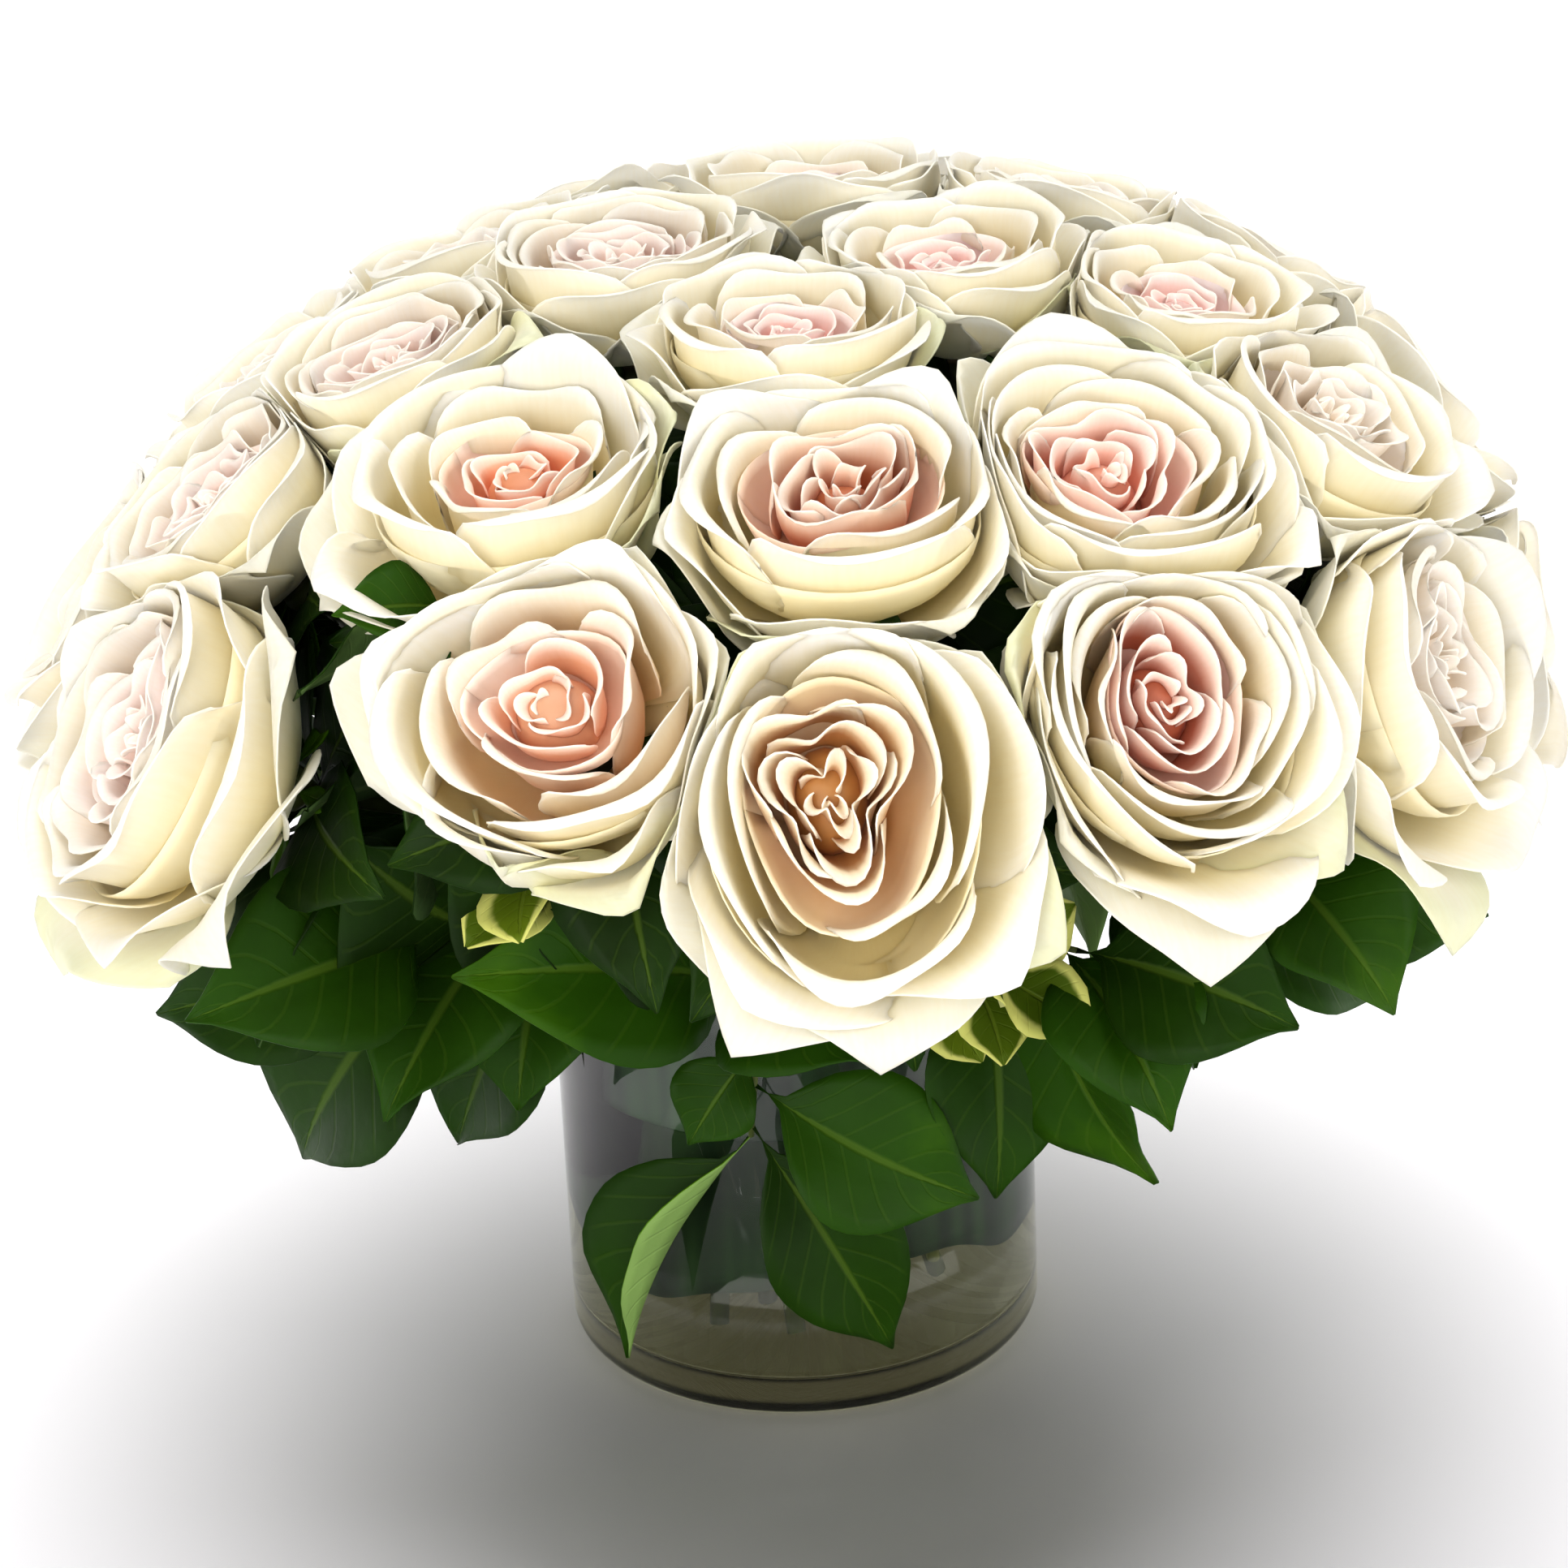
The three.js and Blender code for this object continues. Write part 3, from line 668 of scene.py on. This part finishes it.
def leafFinish(name, greens, veinColour, rough, edge=None):
    finish = Finish(name)
    ramp = [(i / (len(greens) - 1), linear(*green)) for i, green in enumerate(greens)]
    tone = finish.node("ShaderNodeAttribute", {"attribute_name": "leafTone"}, output="Fac")
    spot = finish.coordinates("UV")
    body = finish.coordinates("Object")
    across = abs(finish.part(spot, "X") - 0.5) * 2
    cloud = finish.texture(body, 45.0, 3.0)
    fine = finish.texture(body, 260.0, 2.0)
    green = finish.node("ShaderNodeValToRGB", {"stops": ramp}, tone + (cloud - 0.5) * 0.35)
    # side veins leave the midrib at a slant
    slant = finish.part(spot, "Y") * 8.5 - across * 2.0
    wave = slant.maths("SINE", slant * tau)
    vein = wave.step(0.86, 1.0) * (1 - across.step(0.75, 1.0))
    midrib = 1 - across.step(0.02, 0.075)
    lines = vein.maths("MAXIMUM", vein * 0.2, midrib * 0.7)
    colour = finish.mix(vein.maths("MAXIMUM", vein * 0.05, midrib * 0.22), green,
                        linear(*veinColour))
    if edge:
        rim = (across + (cloud - 0.5) * 0.9).step(0.52, 0.72)
        colour = finish.mix(rim, colour, linear(*edge))
    height = cloud * 0.4 + fine * 0.12 - lines * 0.5
    return finish.set(Base_Color=colour, Roughness=rough + 0.15 * cloud,
                      Normal=finish.bump(height, 0.0012, 0.8), Subsurface_Weight=0.06,
                      Subsurface_Radius=(0.5, 1.0, 0.2), Subsurface_Scale=0.002,
                      Specular_IOR_Level=0.1)


leafFace = leafFinish("leafFace", [(15, 34, 2), (32, 66, 2), (76, 120, 2)], (104, 134, 40), 0.42)
leafBack = leafFinish("leafBack", [(60, 84, 44), (122, 154, 82)], (140, 165, 100), 0.5)
edgedFace = leafFinish("edgedFace", [(44, 68, 6), (92, 112, 18)], (130, 150, 50), 0.38,
                       (206, 208, 112))
edgedBack = leafFinish("edgedBack", [(96, 116, 50), (120, 138, 66)], (150, 165, 90), 0.5,
                       (200, 204, 130))


def twigFinish(name, dark, light):
    finish = Finish(name)
    body = finish.coordinates("Object")
    cloud = finish.texture(body, 60.0, 3.0, (1, 1, 0.35))
    fine = finish.texture(body, 300.0, 2.0)
    colour = finish.mix(cloud.step(0.35, 0.7), dark, light)
    return finish.set(Base_Color=colour, Roughness=0.45 + 0.2 * fine,
                      Normal=finish.bump(fine, 0.0005, 0.5))


greenTwig = twigFinish("greenTwig", linear(70, 84, 24), linear(128, 134, 58))
roseTwig = twigFinish("roseTwig", linear(34, 40, 12), linear(66, 76, 26))

# the way of a stem inside the glass and over the rim, and how its bends are rounded
mouth = {"neckZ": 128, "rimZ": 159, "rimRadius": 70, "bend": 0.3, "steps": 5}
sprayStem = {"radius": 2.1, "tipRadius": 1.0, "ring": 62.5, "footZ": 40, "sides": 8}
sprigStem = {"radius": 1.6, "tipRadius": 0.8, "ring": 63.5, "footZ": 52, "sides": 7}


def backSpray(azimuth, sway):
    return {"rim": azimuth, "path": [(azimuth, 112, 174), (azimuth + sway / 4, 152, 180)],
            "leaves": [
                (1, (azimuth + sway / 2, 222, 162), 54, 12, 0.5),
                (0.85, (azimuth - 13, 200, 132 + sway), 50, 12, 0.35),
                (0.75, (azimuth + 13, 194, 128 - sway), 50, 12, 0.6),
                (0.5, (azimuth + sway / 3, 164, 100), 50, 12, 0.25),
                (0.3, (azimuth - 14, 128, 82 - sway), 46, 9, 0.45),
                (0.35, (azimuth + 14, 126, 84 + sway), 46, 9, 0.3)]}


# each leaf: place along the stem, tip, width, arch and tone, and for some also how far it
# rolls about its midrib, its fold and where one side turns over
sprays = [
    {"rim": -54, "path": [(-52, 105, 176), (-50, 138, 184)], "front": 0.55, "wider": 1.15,
     "leaves": [(1, (-53, 222, 182), 52, 10, 0.3), (0.85, (-66, 168, 98), 58, 16, 0.15),
                (0.55, (-44, 176, 142), 50, 10, 0.25), (0.35, (-67, 116, 88), 46, 9, 0.2),
                (0.3, (-44, 122, 122), 46, 9, 0.3), (0.9, (-73, 204, 146), 46, 10, 0.15),
                # dark leaves that stand up behind the collar
                (0.5, (-37, 150, 236), 62, 8, 0.0), (0.75, (-49, 170, 228), 60, 8, 0.05),
                (0.4, (-58, 158, 214), 60, 8, 0.0)]},
    {"rim": -9, "path": [(-8, 92, 162), (-7, 99, 140), (-9, 93, 112)], "front": 0.3, "wider": 1.1,
     "leaves": [(0.22, (-36, 168, 194), 54, 10, 0.45), (0.3, (8, 160, 172), 46, 8, 0.3),
                (0.55, (-18, 108, 116), 26, 3, 0.3), (0.72, (27, 118, 94), 46, 8, 0.42),
                (1, (-35, 98, 28), 48, 7, 0.2, 8, 0.25, 0.12),
                (0.94, (16, 95, 34), 40, 7, 0.2)]},
    {"rim": 38, "path": [(39, 100, 170), (42, 128, 172)], "front": 0.5, "wider": 1.12,
     "leaves": [(0.4, (32, 112, 88), 46, 9, 0.25), (1, (51, 192, 156), 52, 10, 0.2),
                (0.75, (46, 150, 96), 48, 10, 0.45, 78, 0.3),
                (0.9, (38, 178, 134), 46, 10, 0.4)]},
    {"rim": 70, "path": [(68, 112, 174), (66, 158, 186)], "front": 0.5, "wider": 1.12,
     "leaves": [(1, (61, 206, 148), 52, 10, 0.45), (0.95, (74, 222, 160), 46, 8, 0.35),
                (0.45, (61, 140, 124), 48, 9, 0.3), (0.35, (80, 128, 90), 46, 9, 0.25),
                (0.75, (78, 188, 122), 48, 10, 0.4)]},
    *[backSpray(azimuth, 6 if i % 2 else -6)
      for i, azimuth in enumerate((104, 142, 180, -142, -103))],
]
collarFold = 0.34

sprigs = [
    {"rim": -32, "path": [(-34, 94, 194), (-31, 140, 223)], "leafLength": 40},
    {"rim": 20, "path": [(22, 96, 168), (28, 124, 176)], "leafLength": 36},
    {"rim": 123, "path": [(123, 104, 176), (123, 150, 194)], "leafLength": 28},
    {"rim": -122, "path": [(-122, 104, 176), (-121, 150, 194)], "leafLength": 28},
]
sprigLeaf = {"count": 11, "from": 0.4, "turn": 137.508, "leanFrom": 0.35, "rise": 0.7,
             "broadness": 0.72, "arch": 2,
             "blade": {"outline": smallOutline, "fold": 0.2, "wave": 0.5, "ripple": 0.8,
                       "rows": 10}}


def stemCorners(shoot, kind):
    return [place(shoot["rim"], kind["ring"], kind["footZ"]),
            place(shoot["rim"], kind["ring"], mouth["neckZ"]),
            place(shoot["rim"], mouth["rimRadius"], mouth["rimZ"]),
            *[place(*spot) for spot in shoot["path"]]]


def roundedRoute(corners):
    points = [corners[0]]
    for before, corner, after in zip(corners, corners[1:], corners[2:]):
        start, end = before.lerp(corner, 1 - mouth["bend"]), corner.lerp(after, mouth["bend"])
        for i in range(mouth["steps"]):
            t = i / (mouth["steps"] - 1)
            points.append(start.lerp(corner, t).lerp(corner.lerp(end, t), t))
    points.append(corners[-1])
    return points


def outside(corners, share):
    # the place at a share of the straight route beyond the rim
    route = corners[2:]
    lengths = [(b - a).length for a, b in zip(route, route[1:])]
    left = share * sum(lengths)
    for a, b, length in zip(route, route[1:], lengths):
        if left <= length + 1e-6:
            return a.lerp(b, left / length), (b - a).normalized()
        left -= length
    return route[-1], (route[-1] - route[-2]).normalized()


def laySprayLeaves(bm, tones, corners, spray, draw):
    for k, (at, tip, width, arch, tone, *bent) in enumerate(spray["leaves"]):
        roll, fold, *turned = bent or (0, collarFold)
        layLeaf(bm, tones, outside(corners, at)[0], place(*tip), width * spray.get("wider", 1),
                arch, tone, draw, fold=fold, wave=leaf["wave"] if k % 2 else -leaf["wave"],
                roll=roll, front=spray.get("front", 0), turned=turned[0] if turned else None)


def laySprigLeaves(bm, tones, corners, sprig, draw):
    length, count, first = sprig["leafLength"], sprigLeaf["count"], sprigLeaf["from"]
    for k in range(count):
        root, way = outside(corners, first + (1 - first) * k / (count - 1))
        spread = upright.cross(way).normalized()
        spread.rotate(Matrix.Rotation(radians(sprigLeaf["turn"] * k), 3, way))
        lean = sprigLeaf["leanFrom"] + (1 - sprigLeaf["leanFrom"]) * (k + 1) / count
        tip = root + spread * length * sqrt(1 - lean * lean / 2)
        tip += way * length * lean * sprigLeaf["rise"]
        layLeaf(bm, tones, root, tip, length * sprigLeaf["broadness"], sprigLeaf["arch"],
                draw.uniform(0.2, 0.9), draw, **sprigLeaf["blade"])


def makeLeafy(name, node, shoot, kind, layLeaves, draw, face, back):
    corners = stemCorners(shoot, kind)
    bm = newMesh()
    tones = bm.verts.layers.float.new("leafTone")
    layLeaves(bm, tones, corners, shoot, draw)
    blades = finished(bm, name, [face, back], node, sheet=True)
    thicken(blades, leaf["thickness"], 1)
    bakeModifiers(blades)
    bm = newMesh()
    points = roundedRoute(corners)
    last = len(points) - 1
    radii = [kind["radius"] + (kind["tipRadius"] - kind["radius"]) * smooth(i / last, 0.5, 1.0)
             for i in range(last + 1)]
    layTube(bm, points, radii, kind["sides"])
    joinPieces(blades, finished(bm, name + "_twig", [greenTwig], None))


for i, spray in enumerate(sprays):
    makeLeafy(f"spray_{i + 1:02d}", f"leaf_spray_{i + 1:02d}", spray, sprayStem,
              laySprayLeaves, random.Random(300 + i), leafFace, leafBack)
for i, sprig in enumerate(sprigs):
    makeLeafy(f"sprig_{i + 1:02d}", f"edged_sprig_{i + 1:02d}", sprig,
              sprigStem, laySprigLeaves, random.Random(400 + i), edgedFace, edgedBack)
print("sprays and sprigs made")


# --- rose stems with hips, sepals and their own leaves ---

stem = {"radius": 2.7, "footZ": 16, "waistZ": 128, "footSpread": 56, "waistSpread": 25,
        "twist": 60, "cupDepth": 9, "throat": 58, "seat": 0.4, "sides": 10, "steps": 14}
# a hip: radius and height
hip = {"profile": [(2.8, -13), (4.2, -10), (7.0, -6.5), (8.0, -3), (7.0, -0.2)], "sides": 12}
sepal = {"length": 26, "width": 8, "count": 5, "out": 6.5, "below": 2, "arch": -2,
         "tone": 0.7, "blade": {"outline": smallOutline, "wave": 0, "ripple": 0.2,
                                "columns": 4, "rows": 6}}
stemLeaf = {"length": 62, "width": 38, "count": 3, "from": 0.62, "apart": 0.1, "turn": 130,
            "rise": 0.55, "spread": 0.85, "arch": 6}
# dark leaves that fill the gaps between the blooms as painted shade
shadeFillLeaf = {"length": 66, "width": 46, "count": 5, "below": 12, "apart": 2, "wobble": 14,
            "arch": 6, "blade": {"columns": 6, "rows": 9}}

peepingLeaves = [  # root, tip, width, tone
    ((-38, 150, 303), (-43.6, 181, 308), 25, 0.45), ((-42, 150, 288), (-30.5, 186, 284), 30, 0.1),
    ((-52, 140, 270), (-47, 186, 282), 40, 0.1), ((62, 150, 262), (70, 214, 232), 40, 0.3),
    ((-50, 120, 210), (-40, 168, 252), 58, 0.0), ((-30, 110, 196), (-38, 160, 236), 60, 0.0),
    ((-60, 120, 220), (-52, 176, 236), 60, 0.0), ((-20, 100, 190), (-27, 150, 214), 60, 0.0),
]


def stemCurve(rose):
    share = sqrt(1 - sin(radians(rose["elevation"])))
    foot = place(rose["azimuth"] + stem["twist"], stem["footSpread"] * share, stem["footZ"])
    waist = place(rose["azimuth"], stem["waistSpread"] * share, stem["waistZ"])
    top = rose["base"] - rose["axis"] * (stem["seat"] + stem["cupDepth"])
    leave = top - rose["axis"] * stem["throat"]
    arrive = waist + upright * stem["throat"]
    points = [foot, foot.lerp(waist, 0.35), foot.lerp(waist, 0.7)]
    for i in range(stem["steps"] + 1):
        t = i / stem["steps"]
        s = 1 - t
        points.append(waist * s ** 3 + arrive * 3 * s * s * t + leave * 3 * s * t * t
                      + top * t ** 3)
    return points


def sideways(turn, first, second):
    return first * cos(turn) + second * sin(turn)


def laySepals(green, tones, rose, top, draw):
    for k in range(sepal["count"]):
        way = sideways(tau * k / sepal["count"], rose["across"], rose["beside"])
        root = top + way * sepal["out"] - rose["axis"] * sepal["below"]
        tip = root + (way * 0.9 - rose["axis"] * draw.uniform(0.0, 0.6)) * sepal["length"]
        layLeaf(green, tones, root, tip, sepal["width"], sepal["arch"], sepal["tone"], draw,
                **sepal["blade"])


def layStemLeaves(green, tones, rose, points, draw):
    # leaves on the upper stem, reaching into the gaps between the blooms
    for k in range(stemLeaf["count"]):
        root = points[int(len(points) * (stemLeaf["from"] + stemLeaf["apart"] * k))]
        turn = radians(draw.uniform(0, 360) + stemLeaf["turn"] * k)
        way = (rose["axis"] * stemLeaf["rise"]
               + sideways(turn, rose["across"], rose["beside"]) * stemLeaf["spread"])
        tip = root + way.normalized() * stemLeaf["length"]
        layLeaf(green, tones, root, tip, stemLeaf["width"], stemLeaf["arch"],
                draw.uniform(0.0, 0.5), draw)


def layShadeFillLeaves(green, tones, rose, top, draw):
    # leaves in the darkest tone under each bloom close the gaps between them, as painted shade
    for k in range(shadeFillLeaf["count"]):
        wobble = draw.uniform(-shadeFillLeaf["wobble"], shadeFillLeaf["wobble"])
        turn = radians(360 / shadeFillLeaf["count"] * k + wobble)
        root = top - rose["axis"] * (shadeFillLeaf["below"] + shadeFillLeaf["apart"] * k)
        way = (sideways(turn, rose["east"], rose["north"])
               + rose["axis"] * draw.uniform(0.05, 0.4))
        tip = root + way.normalized() * (shadeFillLeaf["length"] * rose["size"])
        layLeaf(green, tones, root, tip, shadeFillLeaf["width"], shadeFillLeaf["arch"], 0.0, draw,
                **shadeFillLeaf["blade"])


def makeStems():
    green, wood = newMesh(), newMesh()
    tones = green.verts.layers.float.new("leafTone")
    draw = random.Random(500)
    for rose in stood:
        points = stemCurve(rose)
        layTube(wood, points, [stem["radius"]] * len(points), stem["sides"])
        top = rose["base"] - rose["axis"] * stem["seat"]
        layTube(wood, [top + rose["axis"] * height for radius, height in hip["profile"]],
                [radius for radius, height in hip["profile"]], hip["sides"])
        laySepals(green, tones, rose, top, draw)
        layStemLeaves(green, tones, rose, points, draw)
        layShadeFillLeaves(green, tones, rose, top, draw)
    for root, tip, width, tone in peepingLeaves:
        layLeaf(green, tones, place(*root), place(*tip), width, 4, tone, draw)
    blades = finished(green, "rose_stems_fine", [leafFace, leafBack], "rose_stems",
                      sheet=True)
    thicken(blades, leaf["thickness"], 1)
    bakeModifiers(blades)
    joinPieces(blades, finished(wood, "rose_wood", [roseTwig], None))


makeStems()
print("stems made")


# --- vase, water and lining ---

vase = {"radius": 76, "height": 152, "wall": 3.2, "floor": 12, "corner": 5, "steps": 96}
water = {"radius": 72.95, "bottom": 11.9, "level": 98, "corner": 5,
         "meniscus": [(0, 1.2), (0.6, 0.4), (2, 0)]}  # from the wall in, above the level
lining = {"radius": 71.8, "thickness": 0.8, "top": 141, "lowerEdge": 45, "wave": 8, "waves": 3,
          "waveTurn": 40, "ripple": 1.4, "ripples": 11, "openHalfAngle": 5,
          "columns": 150, "rows": 14}


def spun(name, profile, material, node):
    # a profile of (radius, height) turned about the upright axis
    bm = newMesh()
    verts = [bm.verts.new((radius, 0, height)) for radius, height in profile]
    edges = [bm.edges.new(pair) for pair in zip(verts, verts[1:])]
    bmesh.ops.spin(bm, geom=verts + edges, cent=(0, 0, 0), axis=(0, 0, 1), angle=tau,
                   steps=vase["steps"], use_merge=True)
    bmesh.ops.remove_doubles(bm, verts=bm.verts, dist=0.001)
    finished(bm, name, [material], node)


def rounded(centre, radius, start, end, steps=6):
    return [(centre[0] + radius * cos(radians(start + (end - start) * i / steps)),
             centre[1] + radius * sin(radians(start + (end - start) * i / steps)))
            for i in range(steps + 1)]


def vaseProfile():
    radius, height, wall = vase["radius"], vase["height"], vase["wall"]
    inside, corner, floor, lip = radius - wall, vase["corner"], vase["floor"], wall / 2
    return [(0, 0), (radius - corner, 0),
            *rounded((radius - corner, corner), corner, -90, 0),
            *rounded((radius - lip, height - lip), lip, 0, 180),
            *rounded((inside - corner, floor + corner), corner, 0, -90),
            (0, floor)]


def waterProfile():
    radius, bottom, level = water["radius"], water["bottom"], water["level"]
    corner = water["corner"]
    return [(0, bottom), (radius - corner, bottom),
            *rounded((radius - corner, bottom + corner), corner, -90, 0),
            *[(radius - inward, level + up) for inward, up in water["meniscus"]], (0, level)]


def letLightIn(finish):
    # light falls through the clear shell instead of stopping at it
    clear = finish.node("ShaderNodeBsdfTransparent", None, (0.93, 0.94, 0.92, 1))
    shade = finish.node("ShaderNodeLightPath", output="Is Shadow Ray")
    shell = Wire(finish, finish.shader.outputs[0])
    both = finish.node("ShaderNodeMixShader", None, shade, shell, clear)
    finish.feed(finish.tree.nodes["Material Output"].inputs["Surface"], both)
    return finish.material


def glassFinish():
    finish = Finish("clearGlass")
    body = finish.coordinates("Object")
    height = finish.part(body, "Z")
    # the glass is tinted darker and olive low down: partly the colour of thick glass, partly
    # painted shade at its lower edge
    colour = finish.mix(height.step(0.003, 0.016), linear(200, 200, 164), linear(250, 253, 250))
    # painted light: a band in the thick floor glows faintly, standing in for the light that
    # gathers there
    paintedGlowBand = height.step(0.005, 0.007) * (1 - height.step(0.0125, 0.0145))
    paintedGlow = finish.mix(paintedGlowBand, (0, 0, 0), linear(66, 63, 42))
    normal = finish.bump(finish.texture(body, 18.0, 2.0), 0.0006, 0.15)
    finish.set(Base_Color=colour, Roughness=0.0, IOR=1.5, Transmission_Weight=1.0,
               Emission_Color=paintedGlow, Emission_Strength=0.8, Normal=normal)
    return letLightIn(finish)


def waterFinish():
    finish = Finish("stillWater")
    normal = finish.bump(finish.texture(finish.coordinates("Object"), 30.0, 2.0), 0.0006, 0.1)
    finish.set(Base_Color=(*linear(244, 242, 220), 1), Roughness=0.0, IOR=1.33,
               Transmission_Weight=1.0, Normal=normal)
    return letLightIn(finish)


def liningFinish():
    finish = Finish("liningLeaf")
    stripes = finish.texture(finish.coordinates("UV"), 45.0, 1.0, (1.0, 0.015, 1.0))
    cloud = finish.texture(finish.coordinates("Object"), 22.0, 3.0)
    colour = finish.mix(stripes.step(0.35, 0.7), linear(24, 44, 28), linear(52, 78, 50))
    colour = finish.mix(cloud.step(0.5, 0.8) * 0.5, colour, linear(70, 84, 62))
    return finish.set(Base_Color=colour, Roughness=0.3 + 0.2 * cloud,
                      Normal=finish.bump(stripes, 0.0004, 0.25))


def makeLining():
    bm = newMesh()

    def shape(u, v, vert):
        azimuth = u * (180 - lining["openHalfAngle"])
        wave = sin(radians(lining["waves"] * azimuth + lining["waveTurn"]))
        ripple = sin(radians(lining["ripples"] * azimuth)) * (1 - v)
        edge = lining["lowerEdge"] + lining["wave"] * wave + lining["ripple"] * ripple
        return place(azimuth, lining["radius"], edge + (lining["top"] - edge) * v)

    layGrid(bm, lining["columns"], lining["rows"], shape)
    piece = finished(bm, "lining_strap", [liningFinish()], "leaf_lining", sheet=True)
    thicken(piece, lining["thickness"])


spun("vase_glass", vaseProfile(), glassFinish(), "vase")
spun("water_fill", waterProfile(), waterFinish(), "water")
makeLining()
print("vase, water and lining made")


# --- floor, light and camera ---

stageSet = {"floorSize": 60.0, "floor": linear(250, 248, 251), "floorRoughness": 0.85,
            "world": 0.23}

lamps = [  # place, aimed at, width, height, power, whether it shows in the glass
    ((-0.5, -2.0, 0.6), (0, 0, 0.15), 1.3, 1.3, 14, False),
    ((-0.9, -1.7, 1.2), (0, 0, 0.22), 1.4, 1.4, 20, True),
    ((1.5, -0.9, 1.0), (0, 0, 0.2), 1.2, 1.2, 13, True),
    ((0, 1.9, 0.5), (0, 0, 0.15), 2.2, 0.9, 7, False),
]
warmth = (1.0, 0.97, 0.91)

# light from overhead: its breadth, its tilt towards the front, its strength and what it lights
overheads = {"object": (50, 17, 2.1, "object"), "fill": (130, -48, 0.9, "object"),
             "floor": (76, 27, 4.6, "floor")}

view = {"place": (0.0, -1.5429, 0.92707), "forward": (0.0002, 0.9014, -0.4330),
        "lens": 125.335, "sensor": 36, "roll": 2.6, "near": 0.05, "far": 50}


def layFloor():
    bm = bmesh.new()
    bmesh.ops.create_grid(bm, x_segments=4, y_segments=4, size=stageSet["floorSize"] / 2)
    mesh = bpy.data.meshes.new("floor")
    bm.to_mesh(mesh)
    bm.free()
    mesh.materials.append(Finish("floorPaint").set(Base_Color=(*stageSet["floor"], 1),
                                                   Roughness=stageSet["floorRoughness"]))
    floor = bpy.data.objects.new("floor", mesh)
    scene.collection.objects.link(floor)
    return floor


def hang(name, kind, spot, turn, lit, **settings):
    # a light that falls only on what the collection lit says
    light = bpy.data.lights.new(name, kind)
    for key, value in settings.items():
        setattr(light, key, value)
    lamp = bpy.data.objects.new(name, light)
    lamp.location = spot
    lamp.rotation_mode = "QUATERNION"
    lamp.rotation_quaternion = turn
    lamp.light_linking.receiver_collection = lit
    scene.collection.objects.link(lamp)
    return lamp


def lightStage(floor):
    world = bpy.data.worlds.new("softStudio")
    scene.world = world
    world.use_nodes = True
    background = world.node_tree.nodes["Background"]
    background.inputs["Color"].default_value = (1, 1, 1, 1)
    background.inputs["Strength"].default_value = stageSet["world"]

    # the object and the floor are lit apart, so that the floor's shadow can be as soft as it is
    lit = {"object": bpy.data.collections.new("floorKeptOut"),
           "floor": bpy.data.collections.new("floorAlone")}
    for collection in lit.values():
        collection.objects.link(floor)
    lit["object"].collection_objects[0].light_linking.link_state = "EXCLUDE"

    for i, (spot, target, width, height, power, mirrored) in enumerate(lamps):
        turn = (Vector(target) - Vector(spot)).to_track_quat("-Z", "Y")
        lamp = hang(f"softbox_{i + 1}", "AREA", spot, turn, lit["object"], shape="RECTANGLE",
                    size=width, size_y=height, energy=power, color=warmth)
        lamp.visible_camera = False
        lamp.visible_glossy = mirrored
        lamp.visible_transmission = mirrored
    for name, (breadth, tilt, energy, what) in overheads.items():
        turn = Quaternion((1, 0, 0), radians(-tilt))
        hang(f"overhead_{name}", "SUN", (0, 0.6, 2.0), turn, lit[what],
             angle=radians(breadth), energy=energy)


def setCamera():
    data = bpy.data.cameras.new("camera")
    data.lens = view["lens"]
    data.sensor_width = view["sensor"]
    data.clip_start = view["near"]
    data.clip_end = view["far"]
    camera = bpy.data.objects.new("camera", data)
    camera.location = view["place"]
    camera.rotation_mode = "QUATERNION"
    aim = Vector(view["forward"]).to_track_quat("-Z", "Y")
    camera.rotation_quaternion = aim @ Quaternion((0, 0, 1), radians(-view["roll"]))
    scene.collection.objects.link(camera)
    scene.camera = camera
    scene.view_settings.view_transform = "Standard"


lightStage(layFloor())
setCamera()
print("stage set")
